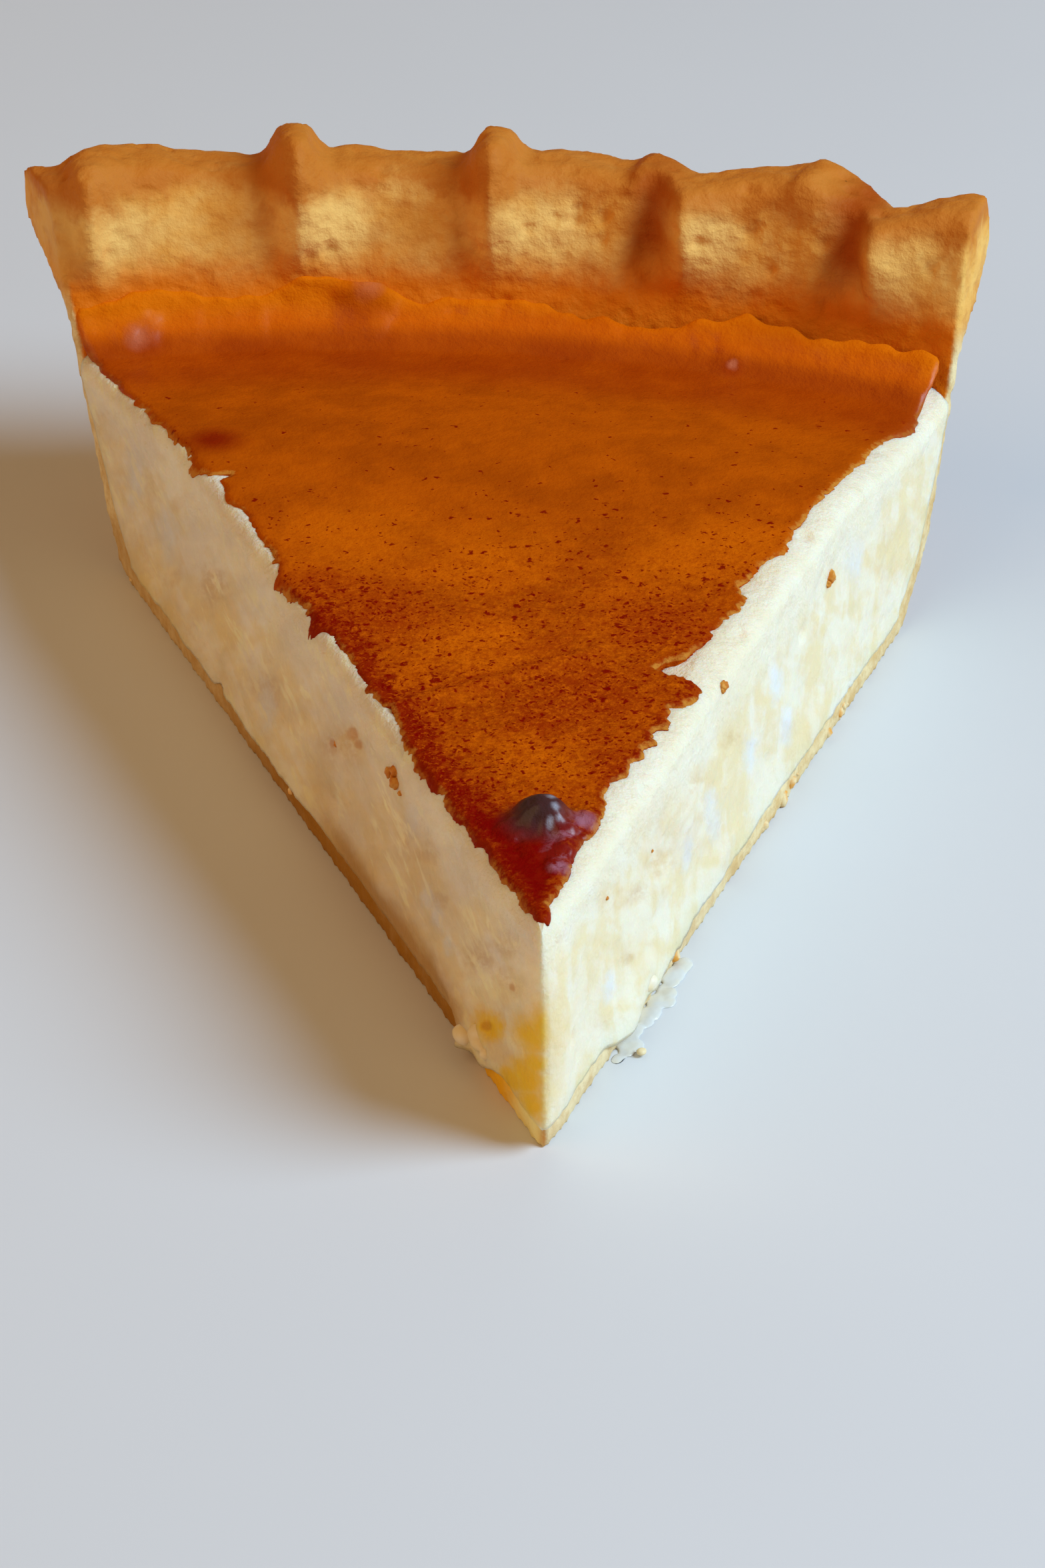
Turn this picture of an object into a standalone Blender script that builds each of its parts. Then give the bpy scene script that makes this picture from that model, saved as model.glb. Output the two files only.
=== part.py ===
"""An eighth of a nine-inch cottage cheese pie: a fluted pastry shell and the set filling it holds.

Run it with: blender --background --python part.py

The whole pie is turned about the pan's centre, its edge is fluted, and one wedge is cut out of it. Metres,
+Z up. The slice stands on the plane Z = 0 with its tip towards -Y, and the origin is under its middle.
"""

import math

import bmesh
import bpy
from mathutils import Vector

# The slice, seen from above
SLICE_ANGLE = math.radians(45)
TIP = Vector((0.0027, -0.0559))  # where the two cuts meet
PAN_CENTRE = TIP + Vector((-0.0184, -0.0051))  # the cuts meet beside the pan's true centre
TIP_ROUNDING = 0.0012

# The pastry shell, as radius from the pan's centre and height
BASE_RADIUS = 0.0945
FLOOR_THICKNESS = 0.0024
WALL_THICKNESS = 0.0034
WALL_TOP_RADIUS = 0.1052
WALL_TOP = 0.0205
RIM_RADIUS = 0.1165
RIM_UNDERSIDE = 0.0245
RIM_TOP = 0.0300
RIM_INNER_RADIUS = 0.1090

# The fluted edge: where each inward pinch lies, in degrees clockwise from +Y about the pan's centre,
# and how far it rises above the edge
PINCHES = (
    (-19.5, 0.0010),
    (-10.7, 0.0016),
    (-0.8, 0.0044),
    (8.2, 0.0038),
    (15.6, 0.0010),
    (23.4, 0.0016),
    (30.6, 0.0018),
    (38.5, 0.0010),
)
PINCH_DEPTH = 0.0036
FLUTE_FOOT = 0.0190
FLUTE_FULL = 0.0270

# The right side of the wall slumped outwards in the oven, and the left end of the rim was rolled thinner
SLUMP = 0.0032
SLUMP_ANGLES = (math.radians(2), math.radians(30))
THINNING = 0.0026
THINNING_ANGLES = (math.radians(2), math.radians(12))

# The filling's top, as height over the radius from the pan's centre
CENTRE_HEIGHT = 0.0180
CROWN_RADIUS = 0.0750
CROWN_HEIGHT = 0.0203
TROUGH_RADIUS = 0.0995
TROUGH_HEIGHT = 0.0172
FILM_HEIGHT = 0.0200  # how far the filling climbs the pastry
FILM_THICKNESS = 0.0010
GAP = 0.0003  # between the filling and the pastry

# The burnt blister near the tip
BLISTER_PLACE = TIP + Vector((0.0003, 0.0142))
BLISTER_RADIUS = 0.0026
BLISTER_HEIGHT = 0.0021

CRUST_STEPS = 420  # round the whole pan
FILLING_STEPS = 180
BEND_STEPS = 4
TOP_STEPS = 14


def smooth(low, high, value):
    """Rises from 0 at low to 1 at high, level at both ends."""
    t = min(max((value - low) / (high - low), 0.0), 1.0)
    return t * t * (3 - 2 * t)


def rounded(corners):
    """The outline through corners of (radius, height, rounding), with each rounding drawn as a bend."""
    points = []
    for i, (r, z, rounding) in enumerate(corners):
        corner = Vector((r, z))
        if not rounding:
            points.append(corner)
            continue
        before = (Vector(corners[i - 1][:2]) - corner).normalized() * rounding
        after = (Vector(corners[i + 1][:2]) - corner).normalized() * rounding
        for step in range(BEND_STEPS + 1):
            t = step / BEND_STEPS
            points.append(corner + before * (1 - t) ** 2 + after * t * t)
    return points


def collection(name, hidden=False):
    made = bpy.data.collections.new(name)
    made.hide_render = hidden
    bpy.context.scene.collection.children.link(made)
    return made


def material(name, colour, roughness):
    made = bpy.data.materials.new(name)
    made.use_nodes = True
    shader = made.node_tree.nodes["Principled BSDF"]
    shader.inputs["Base Color"].default_value = (*colour, 1)
    shader.inputs["Roughness"].default_value = roughness
    shader.inputs["Metallic"].default_value = 0.0
    return made


def baked(obj):
    """Turns an object with its modifiers, or a curve, into a plain mesh object of the same name."""
    bpy.context.view_layer.update()
    evaluated = obj.evaluated_get(bpy.context.evaluated_depsgraph_get())
    mesh = bpy.data.meshes.new_from_object(evaluated)
    welded = bmesh.new()
    welded.from_mesh(mesh)
    bmesh.ops.remove_doubles(welded, verts=welded.verts, dist=1e-6)
    welded.to_mesh(mesh)
    welded.free()
    plain = bpy.data.objects.new(obj.name, mesh)
    plain.matrix_world = obj.matrix_world.copy()
    home = obj.users_collection[0]
    name = obj.name
    bpy.data.objects.remove(obj)
    plain.name = name
    home.objects.link(plain)
    return plain


def turned(name, outline, steps, home):
    """The solid that an outline, running from the axis and back to it, sweeps about the pan's centre."""
    mesh = bpy.data.meshes.new(name)
    points = [(p.x, 0.0, p.y) for p in outline]
    mesh.from_pydata(points, [(i, i + 1) for i in range(len(points) - 1)], [])
    obj = bpy.data.objects.new(name, mesh)
    obj.location = (*PAN_CENTRE, 0.0)
    home.objects.link(obj)
    screw = obj.modifiers.new("turn", "SCREW")
    screw.steps = screw.render_steps = steps
    screw.use_merge_vertices = True
    screw.merge_threshold = 0.00005
    screw.use_normal_calculate = False
    return baked(obj)


def pinch(angle):
    """How hard the edge is pinched at an angle, from 0 between two pinches to 1 on one, and its rise."""
    for (start, rise), (end, next_rise) in zip(PINCHES, PINCHES[1:]):
        if start <= angle <= end:
            t = (angle - start) / (end - start)
            hold = (1 - math.sin(math.pi * t)) ** 1.2
            return hold, rise if t < 0.5 else next_rise
    return 0.0, 0.0


def shaped_by_hand(obj):
    """Pinches the turned edge into flutes, slumps the wall on the right and thins the rim on the left."""
    for vertex in obj.data.vertices:
        x, y, z = vertex.co
        radius = math.hypot(x, y)
        if radius < 1e-6:
            continue
        angle = math.atan2(x, y)
        hold, rise = pinch(math.degrees(angle))
        flute = smooth(FLUTE_FOOT, FLUTE_FULL, z)
        slump = smooth(*SLUMP_ANGLES, angle) * smooth(0, 0.006, z) * (1 - smooth(0.016, RIM_TOP, z))
        reach = smooth(0.5 * BASE_RADIUS, BASE_RADIUS, radius)
        moved = radius + SLUMP * slump * reach - PINCH_DEPTH * hold * flute
        vertex.co.x *= moved / radius
        vertex.co.y *= moved / radius
        topness = smooth(RIM_UNDERSIDE, RIM_TOP, z)
        thinned = smooth(*THINNING_ANGLES, -angle) * smooth(RIM_INNER_RADIUS, RIM_RADIUS, radius)
        vertex.co.z += THINNING * thinned * (1 - topness) + rise * hold * topness


def wedge(home):
    """The cutter: a tall wedge with a slightly rounded tip, on the slice's two cuts."""
    reach = 2 * RIM_RADIUS
    half = SLICE_ANGLE / 2
    left = Vector((-math.sin(half), math.cos(half)))
    right = Vector((math.sin(half), math.cos(half)))
    bend = [
        left * TIP_ROUNDING * (1 - t) ** 2 + right * TIP_ROUNDING * t * t
        for t in (step / BEND_STEPS for step in range(BEND_STEPS + 1))
    ]
    outline = [left * reach, *bend, right * reach]
    curve = bpy.data.curves.new("wedge", "CURVE")
    curve.dimensions = "2D"
    curve.fill_mode = "BOTH"
    curve.extrude = 2 * RIM_TOP
    spline = curve.splines.new("POLY")
    spline.points.add(len(outline) - 1)
    for point, place in zip(spline.points, outline):
        point.co = (*place, 0.0, 1.0)
    spline.use_cyclic_u = True
    obj = bpy.data.objects.new("wedge", curve)
    obj.location = (*TIP, 0.0)
    home.objects.link(obj)
    cutter = baked(obj)
    hide(cutter)
    return cutter


def hide(obj):
    obj.hide_render = True
    obj.display_type = "WIRE"


def combine(obj, other, operation):
    boolean = obj.modifiers.new(other.name, "BOOLEAN")
    boolean.operation = operation
    boolean.solver = "EXACT"
    boolean.object = other


def inner_wall(gap):
    """The pastry's inside, from the floor's edge up to the rim, moved in from the pastry by a gap."""
    floor = FLOOR_THICKNESS + gap
    return [
        (BASE_RADIUS - WALL_THICKNESS - gap, floor, 0.0045),
        (WALL_TOP_RADIUS - WALL_THICKNESS - gap, WALL_TOP - WALL_THICKNESS, 0.0030),
    ]


def make_crust(parts):
    outline = rounded(
        [
            (0.0, FLOOR_THICKNESS, 0),
            *inner_wall(0.0),
            (RIM_INNER_RADIUS, RIM_TOP, 0.0016),
            (RIM_RADIUS, RIM_TOP - 0.0004, 0.0022),
            (RIM_RADIUS, RIM_UNDERSIDE, 0.0016),
            (WALL_TOP_RADIUS, WALL_TOP, 0.0026),
            (BASE_RADIUS, 0.0, 0.0024),
            (0.0, 0.0, 0),
        ]
    )
    crust = turned("crust", outline, CRUST_STEPS, parts)
    shaped_by_hand(crust)
    return crust


def filling_top():
    """The top from the pan's centre over its crown and down into the trough beside the pastry."""
    stretches = (
        (0.0, CENTRE_HEIGHT, CROWN_RADIUS, CROWN_HEIGHT),
        (CROWN_RADIUS, CROWN_HEIGHT, TROUGH_RADIUS, TROUGH_HEIGHT),
    )
    points = []
    for r0, z0, r1, z1 in stretches:
        for step in range(TOP_STEPS):
            t = step / TOP_STEPS
            points.append(Vector((r0 + (r1 - r0) * t, z0 + (z1 - z0) * smooth(0, 1, t))))
    return points


def make_filling(parts, cutters):
    wall = inner_wall(GAP)
    top_radius, top_height, _ = wall[1]
    slope = (RIM_INNER_RADIUS - GAP - top_radius) / (RIM_TOP - top_height)
    film_radius = top_radius + slope * (FILM_HEIGHT - top_height)
    edge = rounded(
        [
            (TROUGH_RADIUS, TROUGH_HEIGHT, 0),
            (film_radius - FILM_THICKNESS * 1.6, TROUGH_HEIGHT, 0.0009),
            (film_radius - FILM_THICKNESS * 0.5, FILM_HEIGHT, 0),
            (film_radius, FILM_HEIGHT, 0),
            *reversed(wall),
            (0.0, FLOOR_THICKNESS + GAP, 0),
        ]
    )
    filling = turned("filling", filling_top() + edge, FILLING_STEPS, parts)
    shaped_by_hand(filling)
    combine(filling, make_blister(cutters), "UNION")
    return filling


def make_blister(home):
    """The bubble in the browned top, squashed from a sphere and sunk to its middle."""
    mesh = bpy.data.meshes.new("blister")
    shape = bmesh.new()
    bmesh.ops.create_uvsphere(shape, u_segments=20, v_segments=12, radius=1.0)
    bmesh.ops.scale(
        shape, vec=(BLISTER_RADIUS, BLISTER_RADIUS, BLISTER_HEIGHT), verts=shape.verts
    )
    shape.to_mesh(mesh)
    shape.free()
    blister = bpy.data.objects.new("blister", mesh)
    blister.location = (*BLISTER_PLACE, CENTRE_HEIGHT)
    home.objects.link(blister)
    hide(blister)
    return blister


def main():
    for obj in list(bpy.data.objects):
        bpy.data.objects.remove(obj)
    parts = collection("cottage_cheese_pie_slice")
    cutters = collection("cutters", hidden=True)
    cutter = wedge(cutters)
    crust = make_crust(parts)
    filling = make_filling(parts, cutters)
    crust.data.materials.append(material("pastry", (0.60, 0.33, 0.12), 0.75))
    filling.data.materials.append(material("cottage_cheese", (0.90, 0.82, 0.62), 0.5))
    for obj in (crust, filling):
        combine(obj, cutter, "INTERSECT")
        obj.data.shade_smooth()
        obj.data.set_sharp_from_angle(angle=math.radians(40))


main()
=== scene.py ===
import math
import random

import bmesh
import bpy
from mathutils import Matrix, Vector, noise
from mathutils.bvhtree import BVHTree
from mathutils.geometry import delaunay_2d_cdt
from mathutils.kdtree import KDTree


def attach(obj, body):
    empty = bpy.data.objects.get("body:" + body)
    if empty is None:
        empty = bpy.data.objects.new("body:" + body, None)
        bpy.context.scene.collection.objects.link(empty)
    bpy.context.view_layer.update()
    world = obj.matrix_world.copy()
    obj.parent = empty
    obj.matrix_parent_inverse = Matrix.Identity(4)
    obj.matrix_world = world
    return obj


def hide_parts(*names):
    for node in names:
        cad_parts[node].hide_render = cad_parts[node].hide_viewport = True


# A slice of baked cottage cheese pie. Lengths are in metres unless a name says otherwise.

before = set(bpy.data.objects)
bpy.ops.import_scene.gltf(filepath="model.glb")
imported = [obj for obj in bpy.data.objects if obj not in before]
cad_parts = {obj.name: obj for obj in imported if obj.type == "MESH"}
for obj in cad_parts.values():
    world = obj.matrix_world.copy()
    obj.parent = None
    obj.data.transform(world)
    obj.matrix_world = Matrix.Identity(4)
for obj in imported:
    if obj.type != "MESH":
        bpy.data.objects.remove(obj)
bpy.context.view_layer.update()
print("frame loaded")

plan = {  # the slice seen from above
    "tip": Vector((0.0027, -0.0559)),  # where the two cuts meet
    "panCentre": Vector((-0.0157, -0.0610)),
    "halfAngle": math.radians(22.5),
}
shell = {  # the pastry, as radius from the pan's centre and height
    "baseRadius": 0.0945,
    "floorThickness": 0.0024,
    "wallThickness": 0.0034,
    "wallTopRadius": 0.1052,
    "wallTop": 0.0205,
    "rimRadius": 0.1163,
    "rimUnderside": 0.0247,
    "rimTop": 0.0300,
    "rimInnerRadius": 0.1090,
    "innerLean": 0.56,  # how far the inside of the edge leans out for each metre up
    "pinchDepth": 0.0036,
    "slump": 0.0030,  # how far the right side of the wall leans out
    "pinches": (-19.5, -10.7, -0.8, 8.2, 17.2, 26.2, 34.0, 42.0),  # degrees clockwise from +Y
    "rimHeights": (  # degrees clockwise from +Y, height in mm
        (-20, 30.2), (-12.0, 30.4), (-11.4, 30.8), (-10.4, 32.3), (-8.6, 31.5), (-7.2, 31.2),
        (-5.6, 30.3), (-3.2, 30.1), (-2.0, 32.4), (-0.9, 34.0), (-0.1, 32.4), (0.6, 30.9),
        (2.0, 30.4), (4.0, 29.9), (6.0, 30.0), (7.0, 31.5), (8.2, 33.7), (8.9, 32.3), (9.8, 30.9),
        (12.4, 30.4), (13.7, 30.0), (14.6, 31.0), (15.7, 31.2), (16.8, 30.8), (18.2, 30.8),
        (21.4, 31.3), (22.4, 32.0), (23.0, 31.6), (24.2, 30.7), (26.4, 30.1), (27.8, 30.6),
        (29.4, 31.4), (38.0, 31.0),
    ),
    "creases": (  # where the dough folded: angle, half width in degrees, depth
        (15.6, 1.7, 0.0019), (24.9, 1.8, 0.0021), (6.9, 1.0, 0.0006), (-2.3, 1.0, 0.0005),
        (-11.9, 1.0, 0.0006),
    ),
    "cutBack": 0.00012,  # how far the knife's crumbling set the pastry back from the cuts
    "voxel": 0.00044,
    "wornFrom": 0.0400,  # beyond this x the far right corner is shorter by this share
    "wear": 0.30,
    "relief": {
        "Lump Size": 0.0045, "Lump Height": 0.00040, "Grain Size": 0.0014, "Grain Height": 0.00026,
        "Pit Size": 0.0021, "Pit Depth": 0.00038, "Pit Share": 0.22,
    },
}
topLine = {  # the filling's top, as radius from the pan's centre and height
    "centreHeight": 0.0180,
    "crownRadius": 0.0750,
    "crownHeight": 0.0203,
    "troughRadius": 0.0995,
    "troughHeight": 0.0172,
}


def smooth(low, high, value):  # 0 at low, 1 at high
    t = min(max((value - low) / (high - low), 0.0), 1.0)
    return t * t * (3 - 2 * t)


def along(table, value):  # reads a table of (place, amount) between its lines
    for (start, low), (end, high) in zip(table, table[1:]):
        if value <= end:
            return low + (high - low) * smooth(start, end, value)
    return table[-1][1]


def topHeight(x, y):
    radius = (Vector((x, y)) - plan["panCentre"]).length
    if radius < topLine["crownRadius"]:
        low, high = topLine["centreHeight"], topLine["crownHeight"]
        return low + (high - low) * smooth(0, topLine["crownRadius"], radius)
    low, high = topLine["crownHeight"], topLine["troughHeight"]
    return low + (high - low) * smooth(topLine["crownRadius"], topLine["troughRadius"], radius)


def cutAlong(side):  # the direction of a cut, -1 for the left one and 1 for the right one
    return Vector((side * math.sin(plan["halfAngle"]), math.cos(plan["halfAngle"])))


def cutInward(side):  # square to a cut, into the slice
    return Vector((-side * math.cos(plan["halfAngle"]), math.sin(plan["halfAngle"])))


def cutOutward(side):
    return Vector((*-cutInward(side), 0))


def cutRun(x, y, side):  # mm from the tip along a cut
    return (Vector((x, y)) - plan["tip"]).dot(cutAlong(side)) * 1000


def cutInset(x, y, side):  # how far a place lies inside a cut
    return (Vector((x, y)) - plan["tip"]).dot(cutInward(side))


def leastInset(x, y):  # how far inside the nearer cut
    return min(cutInset(x, y, side) for side in (-1, 1))


def drift(x, y, z):  # a smooth wander between about -1 and 1
    return noise.noise(Vector((x, y, z)))


def panDirection(bearing):  # from the pan's centre, in degrees clockwise from +Y
    return Vector((math.sin(math.radians(bearing)), math.cos(math.radians(bearing))))


class Wire:  # one output of a node
    def __init__(self, graph, socket):
        self.graph = graph
        self.socket = socket

    def __add__(self, other):
        return self.graph.maths("ADD", self, other)

    def __sub__(self, other):
        return self.graph.maths("SUBTRACT", self, other)

    def __rsub__(self, other):
        return self.graph.maths("SUBTRACT", other, self)

    def __mul__(self, other):
        return self.graph.maths("MULTIPLY", self, other)

    def __truediv__(self, other):
        return self.graph.maths("DIVIDE", self, other)

    def __rtruediv__(self, other):
        return self.graph.maths("DIVIDE", other, self)

    def __pow__(self, other):
        return self.graph.maths("POWER", self, other)

    def __abs__(self):
        return self.graph.maths("ABSOLUTE", self)

    __radd__ = __add__
    __rmul__ = __mul__

    def clip(self):
        return self.graph.node("ShaderNodeClamp", {}, {0: self})

    def rise(self, low, high):  # 0 below low, 1 above high
        sockets = {"Value": self, "From Min": low, "From Max": high}
        return self.graph.node("ShaderNodeMapRange", {"interpolation_type": "SMOOTHSTEP"}, sockets)

    def fall(self, low, high):  # 1 below low, 0 above high
        return 1 - self.rise(low, high)


class Graph:  # the nodes of one material or one Geometry Nodes tree
    def __init__(self, tree):
        self.tree = tree

    def node(self, kind, settings, sockets, output=0):
        made = self.tree.nodes.new(kind)
        for name, value in settings.items():
            if name == "curve":
                self.drawCurve(made.mapping, value)
            else:
                setattr(made, name, value)
        for name, value in sockets.items():
            if isinstance(value, Wire):
                self.tree.links.new(value.socket, made.inputs[name])
            else:
                made.inputs[name].default_value = value
        return Wire(self, made.outputs[output]) if len(made.outputs) else None

    def drawCurve(self, mapping, points):
        curve = mapping.curves[0]
        while len(curve.points) < len(points):
            curve.points.new(0.5, 0.5)
        for point, place in zip(curve.points, points):
            point.location = place
            point.handle_type = "AUTO_CLAMPED"
        mapping.update()

    def maths(self, operation, *values):
        return self.node("ShaderNodeMath", {"operation": operation}, dict(enumerate(values)))

    def vector(self, operation, first, second):
        return self.node("ShaderNodeVectorMath", {"operation": operation}, {0: first, 1: second})

    def distance(self, first, second):
        return self.node("ShaderNodeVectorMath", {"operation": "DISTANCE"}, {0: first, 1: second}, 1)

    def scaled(self, vector, factor):
        return self.node("ShaderNodeVectorMath", {"operation": "SCALE"}, {0: vector, 3: factor})

    def split(self, vector):
        first = self.node("ShaderNodeSeparateXYZ", {}, {0: vector})
        return [Wire(self, socket) for socket in first.socket.node.outputs]

    def join(self, x, y, z):
        return self.node("ShaderNodeCombineXYZ", {}, {0: x, 1: y, 2: z})

    def mix(self, factor, first, second):
        sockets = {0: factor, 6: self.opaque(first), 7: self.opaque(second)}
        return self.node("ShaderNodeMix", {"data_type": "RGBA"}, sockets, 2)

    def opaque(self, colour):
        return colour if isinstance(colour, Wire) else (*colour, 1)

    def noise(self, vector, size, detail=2.0, roughness=0.5, distortion=0.0):
        sockets = {
            "Vector": vector, "Scale": 1 / size, "Detail": detail, "Roughness": roughness,
            "Distortion": distortion,
        }
        return self.node("ShaderNodeTexNoise", {}, sockets)

    def cells(self, vector, size, output=0):
        return self.node("ShaderNodeTexVoronoi", {}, {"Vector": vector, "Scale": 1 / size}, output)


def geometryTree(name, inputs):
    tree = bpy.data.node_groups.new(name, "GeometryNodeTree")
    tree.interface.new_socket("Geometry", in_out="OUTPUT", socket_type="NodeSocketGeometry")
    for label, kind in {"Geometry": "Geometry", **inputs, "Material": "Material"}.items():
        tree.interface.new_socket(label, in_out="INPUT", socket_type="NodeSocket" + kind)
    graph = Graph(tree)
    source = tree.nodes.new("NodeGroupInput")
    given = {socket.name: Wire(graph, socket) for socket in source.outputs if socket.name}
    return graph, given


def closeTree(graph, given, geometry):
    geometry = graph.node("GeometryNodeRealizeInstances", {}, {0: geometry})
    geometry = graph.node("GeometryNodeSetMaterial", {}, {0: geometry, "Material": given["Material"]})
    graph.node("NodeGroupOutput", {}, {0: geometry})
    return graph.tree


def grow(obj, tree, values):  # puts a tree on an object with its inputs set
    modifier = obj.modifiers.new(tree.name, "NODES")
    modifier.node_group = tree
    for item in tree.interface.items_tree:
        if item.in_out == "INPUT" and item.name in values:
            modifier[item.identifier] = values[item.name]


def newObject(name, mesh):
    obj = bpy.data.objects.new(name, mesh)
    bpy.context.scene.collection.objects.link(obj)
    return obj


def solidObject(name, solid):
    mesh = bpy.data.meshes.new(name)
    solid.to_mesh(mesh)
    solid.free()
    return newObject(name, mesh)


def melt(obj, voxel, passes):  # joins what overlaps under one surface and softens it
    remesh = obj.modifiers.new("remesh", "REMESH")
    remesh.mode, remesh.voxel_size = "VOXEL", voxel
    soften = obj.modifiers.new("soften", "SMOOTH")
    soften.factor, soften.iterations = 0.5, passes


def settle(obj):  # turns an object with its modifiers into a plain mesh
    bpy.context.view_layer.update()
    shaped = obj.evaluated_get(bpy.context.evaluated_depsgraph_get())
    mesh = bpy.data.meshes.new_from_object(shaped)
    obj.modifiers.clear()
    obj.data = mesh
    mesh.shade_smooth()
    return obj


def triangleCount(obj):
    return sum(len(face.vertices) - 2 for face in obj.data.polygons)


def surfaceOf(obj):
    mesh = obj.data
    return BVHTree.FromPolygons([v.co for v in mesh.vertices], [f.vertices[:] for f in mesh.polygons])


class Paint:  # layers of colour over a surface, in the tones of its look
    def __init__(self, graph, look, first):
        self.graph, self.look, self.colour = graph, look, look[first]

    def over(self, tone, share):  # a tone's name, or a colour that is mixed already
        self.colour = self.graph.mix(share, self.colour, self.look.get(tone, tone))


def surfaceMaterial(name, build, **constants):
    made = bpy.data.materials.new(name)
    made.use_nodes = True
    made.node_tree.nodes.clear()
    graph = Graph(made.node_tree)
    place = graph.node("ShaderNodeTexCoord", {}, {}, "Object")
    varying = build(graph, place)
    sockets = {label.replace("_", " "): value for label, value in constants.items()}
    shader = graph.node("ShaderNodeBsdfPrincipled", {}, {**sockets, **varying})
    graph.node("ShaderNodeOutputMaterial", {}, {"Surface": shader})
    return made


def bumped(graph, height, depth, distance=0.001):
    sockets = {"Height": height, "Strength": depth, "Distance": distance}
    return graph.node("ShaderNodeBump", {}, sockets, "Normal")


def spotted(graph, near, spots, wobble=0.0, soft=0.5):  # 1 inside any of some spots, 0 beyond them
    cover = 0.0
    for x, y, height, size in spots:
        centre = (x / 1000, y / 1000, height / 1000)
        gap = graph.distance(near, centre) + wobble
        cover = graph.maths("MAXIMUM", gap.fall(size * soft / 1000, size * 1.2 / 1000), cover)
    return cover


drag = {"along": 0.5, "up": 0.86}  # how steps along and up a cut count where the knife drew spots long


def dragged(spots):  # the same spots in that squeezed space
    return [(x, 0.0, height * drag["up"] + y * drag["along"], size) for x, y, height, size in spots]


cheeseLook = {
    "cream": (0.90, 0.715, 0.400),
    "white": (0.95, 0.820, 0.605),
    # tone of painted light on the shaded left face, also used for its pale patches
    "glow": (1.00, 0.86, 0.50),
    # tone of the painted bluish highlights on the wet cut faces
    "whey": (0.80, 0.83, 0.86),
    "tan": (0.70, 0.44, 0.17),
    "butter": (0.86, 0.62, 0.26),
    "yolk": (0.90, 0.53, 0.004),
    "rust": (0.55, 0.17, 0.010),
    "shade": (0.60, 0.49, 0.40),
    "soaked": (0.46, 0.22, 0.045),
    "tipGlowPatch": (-0.0007, 0.0, 0.0070),
    "tallness": 0.42,  # the painted bluish highlight patches stand higher than they are wide
    "yolkSpots": (  # x and y from the tip, height and size, in mm
        (-3.7, 9.0, 5.0, 1.4), (0.2, 1.2, 10.2, 2.2), (-0.7, 1.5, 9.4, 1.8), (-1.2, 3.0, 5.0, 1.9),
        (-0.9, 2.2, 3.2, 1.5), (-2.2, 5.4, 3.2, 1.3), (-0.5, 1.0, 7.2, 1.3),
    ),
    "rustSpots": (
        (-2.1, 5.0, 11.0, 0.30), (-13.8, 33.3, 15.0, 0.6), (-13.3, 32.3, 14.5, 0.4),
        (-15.5, 37.6, 11.6, 0.4), (-3.9, 9.4, 4.9, 0.45),
    ),
    "tanSpots": (
        (8.6, 20.8, 11.1, 1.2), (7.1, 17.1, 10.9, 1.0), (9.5, 23.4, 9.6, 0.9),
        (-2.0, 4.9, 11.5, 1.6), (-2.4, 5.8, 13.9, 1.2), (-9.7, 23.4, 11.7, 1.3),
        (-8.2, 20.2, 12.6, 1.1), (-15.6, 37.6, 11.4, 1.4), (-14.2, 34.0, 13.6, 1.9),
        (-21.0, 50.6, 8.8, 1.6), (-7.0, 16.6, 10.8, 1.0), (6.3, 15.2, 6.6, 0.9),
        (11.2, 27.2, 14.2, 0.9), (14.6, 35.0, 13.0, 1.1), (-26.0, 62.0, 12.0, 2.0),
        (4.4, 14.5, 17.6, 1.0), (2.7, 10.6, 17.6, 0.8), (-4.6, 11.6, 9.0, 1.3),
    ),
    "bluishSheenSpots": (
        (12.7, 30.7, 9.8, 0.9), (12.9, 31.0, 8.4, 0.9), (10.8, 26.3, 8.6, 0.8),
        (4.7, 11.3, 6.8, 0.8), (25.3, 61.1, 14.7, 1.5), (19.3, 46.6, 7.3, 1.0),
        (16.0, 38.7, 9.6, 0.9), (18.2, 44.0, 12.6, 1.0), (-7.5, 18.0, 8.4, 0.7),
        (-8.2, 19.9, 9.2, 0.7), (-6.7, 16.2, 7.6, 0.6), (-30.5, 73.5, 10.8, 1.6),
        (-21.4, 51.6, 6.8, 1.2), (-9.2, 22.2, 13.8, 1.0), (-33.5, 80.9, 12.6, 1.6),
    ),
    "curdSpots": ((10.0, 24.5, 11.5, 3.4), (-4.8, 11.6, 4.2, 2.6), (5.2, 13.0, 13.0, 1.4)),
}


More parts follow.
